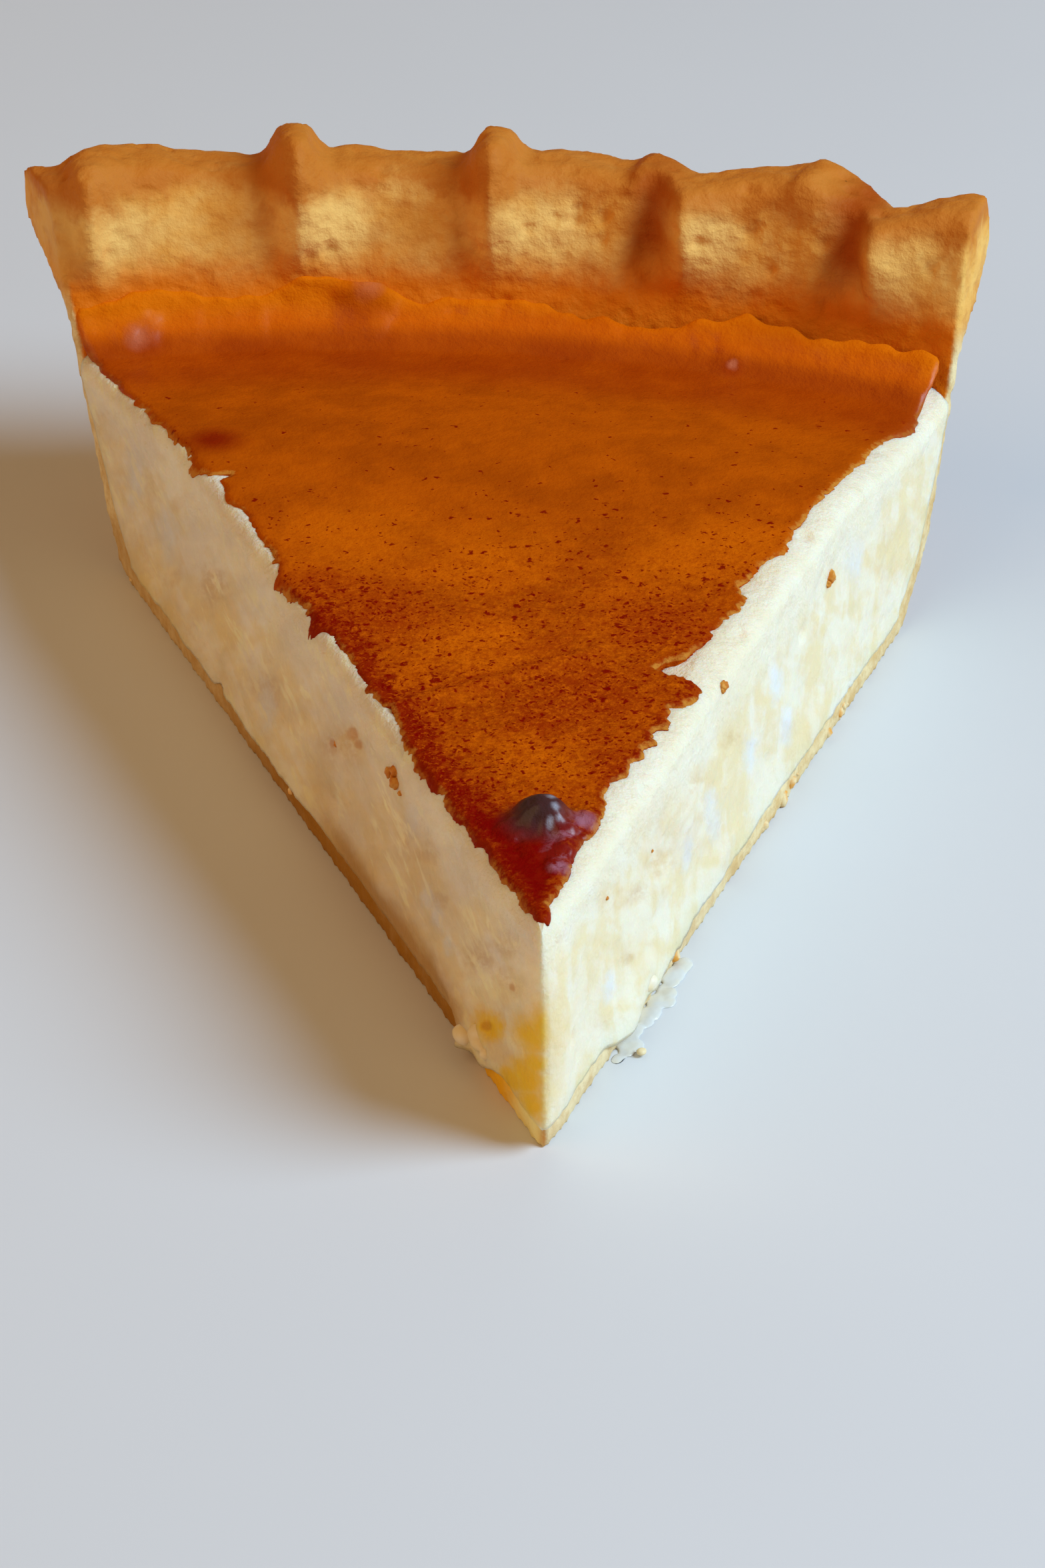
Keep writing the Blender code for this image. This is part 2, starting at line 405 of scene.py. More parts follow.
def cheeseFinish(graph, place):
    look = cheeseLook
    near = graph.vector("SUBTRACT", place, (*plan["tip"], 0))
    x, y, z = graph.split(near)
    rightSide = x.rise(-0.0005, 0.0005)
    drawn = graph.join(x, 0.0, z * drag["up"] + y * drag["along"])
    smeared = graph.join(x, y * 0.34, z * 1.2 - y * 0.32)
    left = graph.noise(smeared, 0.0036, 3, 0.58, 0.5)
    right = graph.noise(graph.join(x, y, z * 0.45), 0.0042, 3, 0.58, 0.6)
    smear = left + (right - left) * rightSide
    blot = graph.noise(drawn, 0.0030, 4, 0.60, 0.3)
    white = (smear * 0.5 + blot * 0.5).rise(0.43, 0.58)
    butter = graph.noise(drawn, 0.0052, 3, 0.55).rise(0.45, 0.64) * z.fall(0.011, 0.0165)
    paint = Paint(graph, look, "cream")
    paint.over("white", white)
    # painted light: a golden glow on the left face near the tip, where light shines through the cheese,
    # merged with the real butter tint lower down
    golden = graph.distance(drawn, look["tipGlowPatch"]).fall(0.0012, 0.0046) * (0.5 + blot)
    golden = golden * (0.85 - rightSide * 0.62)
    butter = graph.maths("MAXIMUM", butter * (0.78 - rightSide * 0.58), golden)
    paint.over("butter", butter.clip())
    wobble = (graph.noise(drawn, 0.0018, 3) - 0.5) * 0.0022
    wobble = wobble + (graph.noise(near, 0.0006, 2) - 0.5) * 0.0006
    crumbled = graph.noise(drawn, 0.0010, 3, 0.65).rise(0.34, 0.60)
    tan = spotted(graph, drawn, dragged(look["tanSpots"]), wobble, 0.2)
    paint.over("tan", tan * crumbled * (0.75 - rightSide * 0.25))
    tallness = look["tallness"]
    tall = graph.vector("MULTIPLY", drawn, (1, 1, tallness))
    # painted highlight: bluish-white patches in the whey tone stand for reflections of the cool lamp on
    # the wet cut face
    sheenPatches = dragged(look["bluishSheenSpots"])
    sheenPatches = [(px, py, height * tallness, size * 0.8) for px, py, height, size in sheenPatches]
    whey = spotted(graph, tall, sheenPatches, wobble * 0.6, 0.2) * (0.4 + smear * 0.8)
    paint.over("whey", whey * 0.72)
    stain = graph.noise(drawn, 0.0034, 4, 0.64).rise(0.54, 0.70)
    paint.over("tan", stain * (0.42 - rightSide * 0.26))
    # a tan band along the middle run of the left cut face only
    leftMiddleTan = y.rise(0.014, 0.024) * y.fall(0.034, 0.046) * (1 - rightSide)
    paint.over("tan", leftMiddleTan * (0.16 + blot * 0.34))
    # painted light: the left cut face is lightened near the tip, where light comes round the rounded tip
    # and through the cheese
    lit = y.fall(0.0015, 0.0075) * (1 - rightSide)
    paint.over("glow", lit * 0.55)
    # the rounded top band of the cut faces is whiter: partly the cheese's smoother white top, partly a
    # painted highlight where it catches the light, stronger on the lit right side
    shoulder = z.rise(0.0138, 0.0168)
    paint.over("white", shoulder * (0.50 + rightSide * 0.2))
    # painted light and shade in the curd clusters: the curd tops are painted whiter as highlights and the
    # gaps between them tan as shade
    curds = graph.cells(graph.join(x, y * 0.5, z), 0.0013).rise(0.05, 0.75)
    cluster = spotted(graph, drawn, dragged(look["curdSpots"]), wobble, 0.3)
    paint.over("tan", curds * cluster * 0.26)
    paint.over("white", (1 - curds) * cluster * 0.5)
    # painted shade: the left cut face, turned away from the main lamp, is greyed in noisy patches
    leftFaceShade = graph.noise(drawn, 0.0044, 3, 0.6).rise(0.36, 0.62) * (1 - rightSide)
    # partly the cheese's own pale patches on the left face, partly painted light low down near the tip
    bright = graph.noise(smeared, 0.0024, 3, 0.6, 0.4).rise(0.56, 0.66)
    low = z.fall(0.0075, 0.0120) * y.fall(0.009, 0.016)
    bright = (bright * 0.75 + low * smear.rise(0.42, 0.56) * 0.7).clip()
    paint.over("glow", bright * (1 - rightSide))
    paint.over("shade", leftFaceShade * 0.34)
    # a dark band low on the left cut face only
    lowLeftBand = (z + wobble * 0.6).fall(0.0030, 0.0058) * y.rise(0.0110, 0.0150) * y.fall(0.034, 0.046)
    paint.over("soaked", lowLeftBand * (1 - rightSide) * 0.85)
    yolk = spotted(graph, drawn, dragged(look["yolkSpots"]), wobble * 0.9, 0.25)
    paint.over("yolk", yolk * (0.98 - x.rise(-0.0002, 0.0007) * 0.72))
    rust = spotted(graph, drawn, dragged(look["rustSpots"]), wobble * 0.4, 0.4)
    paint.over("rust", rust * 0.50)
    fine = graph.noise(near, 0.0004, 3, 0.6)
    dents = graph.noise(near, 0.0013, 4, 0.65)
    height = dents * (0.6 + shoulder * 0.5) + fine * (0.2 + shoulder * 0.3)
    wet = graph.noise(near, 0.003, 2).rise(0.45, 0.65)
    return {
        "Base Color": paint.colour,
        "Roughness": 0.58 - wet * 0.22,
        "Normal": bumped(graph, height, 0.5, 0.0006),
    }


skinLook = {
    "amber": (0.54, 0.092, 0.0006),
    "orange": (0.72, 0.142, 0.0008),
    "brown": (0.42, 0.066, 0.0004),
    "rust": (0.32, 0.024, 0.0004),
    "ember": (0.21, 0.0008, 0.0002),
    "char": (0.054, 0.019, 0.020),
    "glint": (0.42, 0.43, 0.50),
    "blister": (-0.0001, 0.0140, 0.019),
    "burntSpot": (-0.0262, 0.071, 0.019),
    "specks": ((0.0012, 0.27), (0.00075, 0.31), (0.00046, 0.33)),  # size of a cell, a speck's share of it
    "glints": (
        (0.85, 14.4, 19, 0.42), (1.10, 13.4, 19, 0.36), (0.75, 12.5, 19, 0.34), (1.3, 12.7, 19, 0.28),
    ),
    "mauve": (0.40, 0.150, 0.200),
    "honey": (0.76, 0.170, 0.0015),
    "syrup": (0.68, 0.120, 0.0004),
    "sheen": (0.66, 0.20, 0.095),
    "fringe": (0.62, 0.24, 0.030),
    "darkZones": (  # x and y from the tip, height and size, in mm
        (-12.6, 42.6, 19, 5.5), (3.5, 30.5, 19, 6.0), (-9.6, 27.4, 19, 4.0), (-5.6, 17.0, 19, 4.2),
        (9.5, 40.0, 19, 4.5), (-16.0, 47.0, 19, 3.0), (0.0, 27.5, 19, 4.0), (5.0, 21.0, 19, 2.6),
    ),
    "lumps": ((1.8, 12.0, 19, 1.7), (1.3, 9.8, 19, 1.2), (3.0, 13.6, 19, 1.3), (1.3, 8.0, 19, 1.0)),
    "swellings": ((-14.9, 98.2, 20.0, 3.4), (-33.4, 95.0, 18.0, 2.4), (16.8, 88.7, 18.0, 1.3)),
    "sheens": ((-14.2, 99.2, 20.9, 1.7), (-34.0, 95.4, 18.2, 1.6), (16.9, 88.9, 18.2, 0.5)),
    "brightZones": (
        (-14.0, 54.0, 19, 7.5), (-4.0, 50.5, 19, 7.0), (-5.0, 38.5, 19, 4.5), (0.5, 21.5, 19, 4.2),
        (11.0, 50.0, 19, 6.0), (-1.0, 24.0, 19, 3.5), (15.5, 52.0, 19, 7.0),
    ),
}


def wallStain(graph, place):  # how far up the pastry the browned filling coloured it
    z = graph.split(place)[2]
    wander = graph.noise(place, 0.0040, 3, 0.6) - 0.5
    return 1 - (z + wander * 0.0034).rise(0.0210, 0.0248)


def skinFinish(graph, place):
    look = skinLook
    near = graph.vector("SUBTRACT", place, (*plan["tip"], 0))
    x, y, z = graph.split(near)
    inset = x * math.cos(plan["halfAngle"]) + y * math.sin(plan["halfAngle"])
    outset = y * math.sin(plan["halfAngle"]) - x * math.cos(plan["halfAngle"])
    flat = graph.join(x, y, 0.019)
    pan = graph.vector("MULTIPLY", graph.vector("SUBTRACT", place, (*plan["panCentre"], 0)), (1, 1, 0))
    radius = graph.distance(pan, (0, 0, 0))
    broad = graph.noise(near, 0.014, 3, 0.55)
    patchy = graph.noise(near, 0.0042, 4, 0.62)
    grain = graph.noise(near, 0.0008, 3, 0.7)
    fine = graph.noise(near, 0.00030, 2, 0.6)
    front = y.fall(0.034, 0.066)
    wobble = (patchy - 0.5) * 0.007
    dark = spotted(graph, flat, look["darkZones"], wobble, 0.2)
    bright = spotted(graph, flat, look["brightZones"], wobble, 0.1)
    paint = Paint(graph, look, "amber")
    paint.over("brown", (broad * 0.6 + patchy * 0.7).rise(0.50, 0.80))
    paint.over("orange", (bright * (0.35 + patchy * 0.9)).clip() * 0.85)
    paint.over("rust", dark * (0.30 + patchy * 0.7))
    paint.over("orange", front * grain.rise(0.50, 0.66) * 0.60)
    paint.over("rust", front * grain.fall(0.34, 0.50) * 0.55)
    mottle = graph.noise(near, 0.0016, 4, 0.68)
    clots = graph.noise(near, 0.0009, 3, 0.6)
    burnt = inset.fall(0.0008, 0.0052) * y.fall(0.040, 0.052)
    burnt = graph.maths("MAXIMUM", burnt, outset.fall(0.0014, 0.0040) * 0.6 * y.fall(0.036, 0.046))
    paint.over("rust", (burnt * 0.75 + mottle * 0.5).rise(0.52, 0.90) * burnt * 0.75)
    paint.over("ember", (burnt * 0.22 + clots).rise(0.58, 0.70) * burnt.rise(0.05, 0.5) * 0.85)
    paint.over("rust", front * mottle.rise(0.50, 0.66) * 0.50)
    paint.over("rust", front * clots.rise(0.56, 0.66) * 0.40)
    paint.over("orange", front * fine.rise(0.52, 0.66) * 0.40)
    paint.over("rust", front * fine.fall(0.34, 0.48) * 0.40)
    sockets = {"Vector": near, "Scale": 1700.0, "Detail": 2.0}
    warp = graph.node("ShaderNodeTexNoise", {}, sockets, "Color")
    warped = graph.vector("ADD", near, graph.scaled(warp, 0.0011))
    crowd = dark * 0.50 + front * 0.30 + graph.noise(near, 0.005, 2).rise(0.40, 0.64) * front * 0.34
    crowd = crowd + 0.03 * y.fall(0.080, 0.088) + burnt * 0.3
    for size, dot in look["specks"]:
        pick = graph.split(graph.cells(warped, size, 1))[0]
        speck = graph.cells(warped, size).fall(dot * 0.55, dot) * graph.maths("LESS_THAN", pick, crowd)
        paint.over("ember", speck * 0.90)
    edge = graph.node("ShaderNodeAttribute", {"attribute_name": "edgeNearness"}, {}, 2)
    crumbly = edge * (0.5 + grain)
    paint.over("rust", crumbly.rise(0.45, 0.85) * front * 0.55)
    paint.over("fringe", crumbly.rise(0.72, 1.0) * patchy.rise(0.44, 0.56) * 0.8)
    reach = y + x * 0.45 + (patchy - 0.5) * 0.010 + (mottle - 0.5) * 0.008
    tipRed = reach.fall(0.0115, 0.0180)
    toasted = crumbly.rise(0.30, 0.75) * (mottle * 2).clip()
    paint.over("ember", tipRed * (0.95 - toasted * 0.75))
    lumps = spotted(graph, flat, look["lumps"], wobble * 0.25, 0.2)
    paint.over("ember", lumps * 0.8)
    # painted reflection: lilac patches on the dark lumps beside the blister stand for bright surroundings
    # seen in their glossy coat
    paint.over("mauve", lumps * (mottle * 0.6 + patchy * 0.4).rise(0.46, 0.58) * 0.8)
    dome = 1 - (graph.distance(flat, look["blister"]) + wobble * 0.16).rise(0.0009, 0.0033)
    paint.over("char", dome * (0.75 + mottle * 0.5).clip())
    glint = spotted(graph, flat, look["glints"], wobble * 0.08 + (grain - 0.5) * 0.0004, 0.0)
    paint.over("glint", glint * 0.6)
    burntSpot = graph.distance(flat, look["burntSpot"]) + wobble * 0.5
    paint.over("ember", burntSpot.fall(0.0006, 0.0036) * 0.8)
    trough = radius.rise(0.088, 0.096) * z.fall(0.0180, 0.0196)
    paint.over("rust", trough * (0.25 + patchy * 0.5))
    film = radius.rise(0.0988, 0.1022)
    climbed = (z + (patchy - 0.5) * 0.003).rise(0.0188, 0.0208)
    filmColour = graph.mix(climbed, look["syrup"], look["honey"])
    paint.over(filmColour, film * (0.25 + z.rise(0.0178, 0.0192) * 0.8).clip())
    swollen = spotted(graph, near, look["swellings"], wobble * 0.3, 0.2)
    paint.over("rust", swollen * 0.55)
    # painted highlight: pinkish sheen spots on the bubbles of the skin where it climbs the pastry
    blisters = spotted(graph, near, look["sheens"], wobble * 0.3, 0.1)
    paint.over("sheen", blisters * 0.55)
    height = grain * 0.5 + fine * 0.22 + patchy * 0.4 + mottle * front * 0.3
    gloss = radius.rise(0.088, 0.097) * z.fall(0.0190, 0.0205)
    sugar = (tipRed * 0.05 + lumps + dome * 0.9 + blisters).clip()
    return {
        "Base Color": paint.colour,
        "Roughness": 0.60 - gloss * 0.3 + grain * 0.1,
        "Coat Weight": (gloss * 0.35 + sugar * 0.65 + front * grain.rise(0.55, 0.75) * 0.10).clip(),
        "Normal": bumped(graph, height, 0.55, 0.0005),
    }


pastryLook = {
    "golden": (0.84, 0.370, 0.058),
    "pale": (0.94, 0.545, 0.142),
    "toasted": (0.59, 0.162, 0.012),
    "dark": (0.40, 0.062, 0.001),
    "crumb": (0.88, 0.68, 0.36),
    "soaked": (0.72, 0.46, 0.18),
    "bleached": (0.90, 0.78, 0.52),
    # tone of painted light shining through the crust at the tip
    "wet": (0.98, 0.50, 0.014),
    "glowing": (1.00, 0.84, 0.34),
    "brown": (0.40, 0.165, 0.014),
    "litRidgeFlanks": (  # painted light on the right flank of each ridge, which faces the lamp: degrees, from and to in height
        (18.0, 20.5, 29.0), (27.3, 20.5, 29.0), (-9.6, 23.5, 28.0), (9.3, 24.0, 28.0),
    ),
}


def pastryFinish(graph, place):
    look = pastryLook
    flat = graph.vector("SUBTRACT", place, (*plan["panCentre"], 0))
    x, y, z = graph.split(flat)
    angle = graph.maths("ARCTAN2", x, y) * math.degrees(1)
    radius = graph.distance(graph.join(x, y, 0), (0, 0, 0))
    broad = graph.noise(flat, 0.0080, 3, 0.55)
    patchy = graph.noise(flat, 0.0030, 4, 0.60)
    grain = graph.noise(flat, 0.0007, 3, 0.65)
    flakes = graph.cells(graph.join(x, y, z * 1.6), 0.0019).rise(0.1, 0.6)
    middle = z.rise(0.0222, 0.0258) * (1 - (z + (patchy - 0.5) * 0.004).rise(0.0272, 0.0302))
    paint = Paint(graph, look, "golden")
    paint.over("pale", (broad.rise(0.36, 0.60) * (0.35 + middle * 0.65)).clip())
    paint.over("toasted", patchy.rise(0.46, 0.66) * (0.55 - middle * 0.25))
    paint.over("pale", grain.rise(0.54, 0.72) * 0.22)
    brow = (z + (patchy - 0.5) * 0.003).rise(0.0276, 0.0300)
    paint.over("toasted", brow * 0.86)
    # painted light: each ridge's right flank is paled where it faces the lamp
    for bearing, low, high in look["litRidgeFlanks"]:
        low, high = low / 1000, high / 1000
        litFlank = (1 - abs(angle - bearing) / 1.6).rise(0.0, 0.8)
        litFlank = litFlank * z.rise(low, low + 0.002) * z.fall(high - 0.002, high + 0.001)
        paint.over("pale", litFlank * 0.60)
    # painted shade: the creases of the edge are darkened, the more the deeper they fold
    for crease, halfWidth, depth in shell["creases"]:
        fold = (1 - abs(angle - crease + 0.10) / (halfWidth * 1.15)).rise(0.0, 1.0)
        fold = fold * z.fall(0.0300, 0.0318)
        paint.over("dark", (fold * z.rise(0.0215, 0.0262) * depth * 480).clip() * 0.92)
    near = graph.vector("SUBTRACT", place, (*plan["tip"], 0))
    cut = 0.0
    for side in (-1, 1):
        settings, sockets = {"operation": "DOT_PRODUCT"}, {0: near, 1: (*cutInward(side), 0)}
        inset = graph.node("ShaderNodeVectorMath", settings, sockets, 1)
        cut = graph.maths("MAXIMUM", 1 - (inset + (grain - 0.5) * 0.0004).rise(0.0003, 0.0007), cut)
    nearX, nearY, _ = graph.split(near)
    below = z.fall(0.0190, 0.0230)
    crumb = Paint(graph, look, "crumb")
    crumb.over("soaked", (patchy * 0.7 + grain * 0.4).rise(0.42, 0.68))
    crumb.over("bleached", nearY.fall(0.030, 0.038) * 0.20)
    # darker brown on the left cut of the pastry floor: partly the baked base's own brown, partly painted
    # shade on the side turned from the lamp
    leftSide = nearX.fall(-0.0008, 0.0002)
    browned = leftSide * (0.74 + patchy * 0.5).clip() * z.fall(0.003, 0.006)
    crumb.over("brown", browned * (1 - nearY.rise(0.045, 0.070) * 0.6))
    # painted light: near the tip the left cut of the pastry is painted amber, then glowing yellow, for
    # light shining through the thin crust
    back = nearY + (patchy - 0.5) * 0.004
    crumb.over("wet", leftSide * back.fall(0.0090, 0.0150))
    crumb.over("glowing", leftSide * back.fall(0.0030, 0.0070))
    paint.over(crumb.colour, cut * below)
    lean = angle.rise(2, 30) * z.fall(0.016, 0.030) * shell["slump"]
    foot = shell["wallTop"] - shell["wallThickness"]
    innerRadius = (z - foot) * shell["innerLean"] + shell["wallTopRadius"] - shell["wallThickness"]
    inside = 1 - (radius - lean - innerRadius).rise(0.0012, 0.0022)
    inside = inside * z.rise(0.0150, 0.0165) * (1 - cut)
    paint.over(skinLook["honey"], wallStain(graph, place) * inside)
    height = patchy * 0.5 + grain * 0.40 + flakes * 0.18
    return {
        "Base Color": paint.colour,
        "Roughness": 0.74 - broad * 0.15,
        "Normal": bumped(graph, height, 0.55, 0.0007),
    }


def plainFinish(size, first, second, roughness, spread=0.1):  # drifts between two tones
    def build(graph, place):
        tone = graph.noise(place, size, 2)
        colour = graph.mix(tone.rise(0.5 - spread, 0.5 + spread), first, second)
        return {"Base Color": colour, "Roughness": roughness + tone * 0.1}
    return build


crumbFinish = plainFinish(0.0012, pastryLook["crumb"], pastryLook["golden"], 0.7)
fleckFinish = plainFinish(0.0007, (0.60, 0.17, 0.008), (0.74, 0.32, 0.050), 0.5, 0.15)
curdFinish = plainFinish(0.0022, cheeseLook["cream"], cheeseLook["white"], 0.4)
wheyFinish = plainFinish(0.0015, (0.77, 0.76, 0.70), (0.80, 0.76, 0.64), 0.14)
cheese = surfaceMaterial(
    "cheese", cheeseFinish, Subsurface_Weight=0.45, Subsurface_Radius=(1.0, 0.62, 0.32),
    Subsurface_Scale=0.0016, Specular_IOR_Level=0.35,
)
skin = surfaceMaterial("bakedSkin", skinFinish, Specular_IOR_Level=0.02, Coat_Roughness=0.30)
pastry = surfaceMaterial("pastry", pastryFinish, Specular_IOR_Level=0.12)
crumbly = surfaceMaterial("pastryCrumb", crumbFinish, Specular_IOR_Level=0.2)
toasted = surfaceMaterial("toastedFleck", fleckFinish, Specular_IOR_Level=0.2)
curdy = surfaceMaterial("curd", curdFinish, Specular_IOR_Level=0.4)
wheyDrop = surfaceMaterial("wheyDrop", wheyFinish, Specular_IOR_Level=0.5)
print("finishes made")


def reliefTree():  # raises lumps, curds and grain on a surface and sinks pits into it
    sizes = (
        "Lump Size", "Lump Height", "Grain Size", "Grain Height", "Pit Size", "Pit Depth", "Pit Share",
        "Curd Size", "Curd Height", "Lowest",
    )
    inputs = {**dict.fromkeys(sizes, "Float"), "Stretch": "Vector"}
    graph, given = geometryTree("surfaceRelief", inputs)
    place = graph.node("GeometryNodeInputPosition", {}, {})
    normal = graph.node("GeometryNodeInputNormal", {}, {})
    calm = graph.node("GeometryNodeInputNamedAttribute", {}, {"Name": "calm"})
    share = graph.node("GeometryNodeInputNamedAttribute", {}, {"Name": "share"})
    drawn = graph.vector("MULTIPLY", place, given["Stretch"])
    lumpSockets = {"Vector": drawn, "Scale": 1 / given["Lump Size"], "Detail": 3.0}
    lump = graph.node("ShaderNodeTexNoise", {}, lumpSockets)
    grain = graph.node("ShaderNodeTexNoise", {}, {"Vector": place, "Scale": 1 / given["Grain Size"]})
    pitCells = {"Vector": place, "Scale": 1 / given["Pit Size"]}
    pitGap = graph.node("ShaderNodeTexVoronoi", {}, pitCells)
    pitPick = graph.split(graph.node("ShaderNodeTexVoronoi", {}, pitCells, 1))[0]
    pit = pitGap.fall(0.12, 0.42) * graph.maths("LESS_THAN", pitPick, given["Pit Share"])
    curdGap = graph.node("ShaderNodeTexVoronoi", {}, {"Vector": place, "Scale": 1 / given["Curd Size"]})
    curd = curdGap.fall(0.05, 0.75) * share
    height = (lump - 0.5) * 2 * given["Lump Height"] + (grain - 0.5) * 2 * given["Grain Height"]
    height = (height - pit * given["Pit Depth"]) * (1 - calm) + curd * given["Curd Height"]
    moved = graph.vector("ADD", place, graph.scaled(normal, height))
    x, y, z = graph.split(moved)
    held = graph.join(x, y, graph.maths("MAXIMUM", z, given["Lowest"]))
    geometry = graph.node("GeometryNodeSetPosition", {}, {0: given["Geometry"], "Position": held})
    return closeTree(graph, given, geometry)


def roughen(obj, values, material):
    plain = {"Pit Size": 0.01, "Pit Share": 0.0, "Curd Size": 0.01, "Lowest": 0.0, "Stretch": (1, 1, 1)}
    grow(obj, relief, {**plain, **values, "Material": material})
    return settle(obj)


def shellTree():  # sweeps the pan's outline about its centre and pinches the edge into flutes
    inputs = {
        "Sweep Start": "Float", "Sweep End": "Float", "Steps": "Int", "Outline Step": "Float",
        "Pinch Depth": "Float", "Flute Foot": "Float", "Rim Top": "Float", "Rim Foot": "Float",
        "Slump": "Float",
    }
    graph, given = geometryTree("flutedShell", inputs)
    outline = graph.node("GeometryNodeMeshToCurve", {}, {0: given["Geometry"]})
    spacing = {0: outline, "Length": given["Outline Step"]}
    outline = graph.node("GeometryNodeResampleCurve", {"mode": "LENGTH"}, spacing)
    drawn = graph.node("GeometryNodeInputPosition", {}, {})
    stored = {"data_type": "FLOAT_VECTOR"}
    sockets = {0: outline, "Name": "drawn", "Value": drawn}
    outline = graph.node("GeometryNodeStoreNamedAttribute", stored, sockets)
    path = graph.node("GeometryNodeCurvePrimitiveLine", {}, {"End": (1.0, 0.0, 0.0)})
    path = graph.node("GeometryNodeResampleCurve", {}, {0: path, "Count": given["Steps"]})
    turn = graph.node("GeometryNodeSplineParameter", {}, {})
    path = graph.node("GeometryNodeStoreNamedAttribute", {}, {0: path, "Name": "turn", "Value": turn})
    sockets = {"Curve": path, "Profile Curve": outline, "Fill Caps": True}
    solid = graph.node("GeometryNodeCurveToMesh", {}, sockets)
    turn = graph.node("GeometryNodeInputNamedAttribute", {}, {"Name": "turn"})
    drawn = graph.node("GeometryNodeInputNamedAttribute", stored, {"Name": "drawn"})
    radius, height, _ = graph.split(drawn)
    angle = given["Sweep Start"] + turn * (given["Sweep End"] - given["Sweep Start"])  # in degrees

    low, high = shell["pinches"][0], shell["pinches"][-1]
    count = len(shell["pinches"]) - 1
    phasePoints = [((p - low) / (high - low), i / count) for i, p in enumerate(shell["pinches"])]
    position = ((angle - low) / (high - low)).clip()
    phase = graph.node("ShaderNodeFloatCurve", {"curve": phasePoints}, {"Value": position})
    wave = abs(graph.maths("SINE", phase * (count * math.pi)))
    hold = (1 - wave) ** 1.2
    heightPoints = [((a - low) / (high - low), (h - 26) / 10) for a, h in shell["rimHeights"]]
    rimHeight = graph.node("ShaderNodeFloatCurve", {"curve": heightPoints}, {"Value": position})
    rise = (rimHeight * 10 - 4) / 1000  # above 30 mm, from a curve that holds 26 to 36 mm

    flute = height.rise(given["Flute Foot"], given["Flute Foot"] + 0.0075)
    topness = height.rise(given["Rim Foot"], given["Rim Top"])
    slump = angle.rise(2, 30) * height.rise(0, 0.006) * height.fall(0.016, given["Rim Top"])
    reach = radius.rise(0.5 * shell["baseRadius"], shell["baseRadius"])
    innerRadius = shell["wallTopRadius"] - shell["wallThickness"]
    aboveFoot = height - shell["wallTop"] + shell["wallThickness"]
    innerRadius = innerRadius + aboveFoot * shell["innerLean"]
    inside = 1 - (radius - innerRadius).rise(0.0008, 0.0030)
    crease = 0.0
    for place, halfWidth, depth in shell["creases"]:
        fold = (1 - abs(angle - place) / halfWidth).rise(0.0, 1.0)
        crease = fold * depth + crease
    crease = crease * inside * height.rise(0.0200, 0.0245)
    moved = radius + given["Slump"] * slump * reach - given["Pinch Depth"] * hold * flute + crease
    bearing = angle * math.radians(1)
    x = moved * graph.maths("SINE", bearing) + plan["panCentre"].x
    y = moved * graph.maths("COSINE", bearing) + plan["panCentre"].y
    placed = graph.join(x, y, height + rise * topness)
    solid = graph.node("GeometryNodeSetPosition", {}, {0: solid, "Position": placed})
    return closeTree(graph, given, solid)


def scatterTree():  # strews bits over a surface where its share attribute allows them
    inputs = {
        "Density": "Float", "Smallest": "Float", "Largest": "Float", "Squash": "Vector", "Sink": "Float",
        "Roughen": "Float", "Seed": "Int",
    }
    graph, given = geometryTree("scatterBits", inputs)
    share = graph.node("GeometryNodeInputNamedAttribute", {}, {"Name": "share"})
    sockets = {0: given["Geometry"], "Density": given["Density"] * share, "Seed": given["Seed"]}
    points = graph.node("GeometryNodeDistributePointsOnFaces", {}, sockets)
    rotation = Wire(graph, points.socket.node.outputs["Rotation"])
    normal = Wire(graph, points.socket.node.outputs["Normal"])
    lowLeftBand = graph.scaled(normal, given["Sink"] * -1)
    points = graph.node("GeometryNodeSetPosition", {}, {0: points, "Offset": lowLeftBand})
    bit = graph.node("GeometryNodeMeshIcoSphere", {}, {"Radius": 1.0, "Subdivisions": 2})
    bit = graph.node("GeometryNodeTransform", {}, {0: bit, "Scale": given["Squash"]})
    sockets = {2: given["Smallest"], 3: given["Largest"], 8: given["Seed"]}
    size = graph.node("FunctionNodeRandomValue", {"data_type": "FLOAT"}, sockets, 1)
    sockets = {0: (0, 0, 0), 1: (0.5, 0.5, math.tau), 8: given["Seed"]}
    turned = graph.node("FunctionNodeRandomValue", {"data_type": "FLOAT_VECTOR"}, sockets, 0)
    aim = graph.node("FunctionNodeEulerToRotation", {}, {0: turned})
    aimed = graph.node("FunctionNodeRotateRotation", {"rotation_space": "LOCAL"}, {0: rotation, 1: aim})
    sockets = {"Points": points, "Instance": bit, "Rotation": aimed, "Scale": size}
    bits = graph.node("GeometryNodeInstanceOnPoints", {}, sockets)
    bits = graph.node("GeometryNodeRealizeInstances", {}, {0: bits})
    place = graph.node("GeometryNodeInputPosition", {}, {})
    rough = graph.node("ShaderNodeTexNoise", {}, {"Vector": place, "Scale": 1 / given["Largest"]}, 1)
    offset = graph.scaled(graph.vector("SUBTRACT", rough, (0.5, 0.5, 0.5)), given["Roughen"])
    x, y, z = graph.split(graph.vector("ADD", place, offset))
    held = graph.join(x, y, graph.maths("MAXIMUM", z, 0.0))
    bits = graph.node("GeometryNodeSetPosition", {}, {0: bits, "Position": held})
    return closeTree(graph, given, bits)


relief = reliefTree()
flutes = shellTree()
scatter = scatterTree()


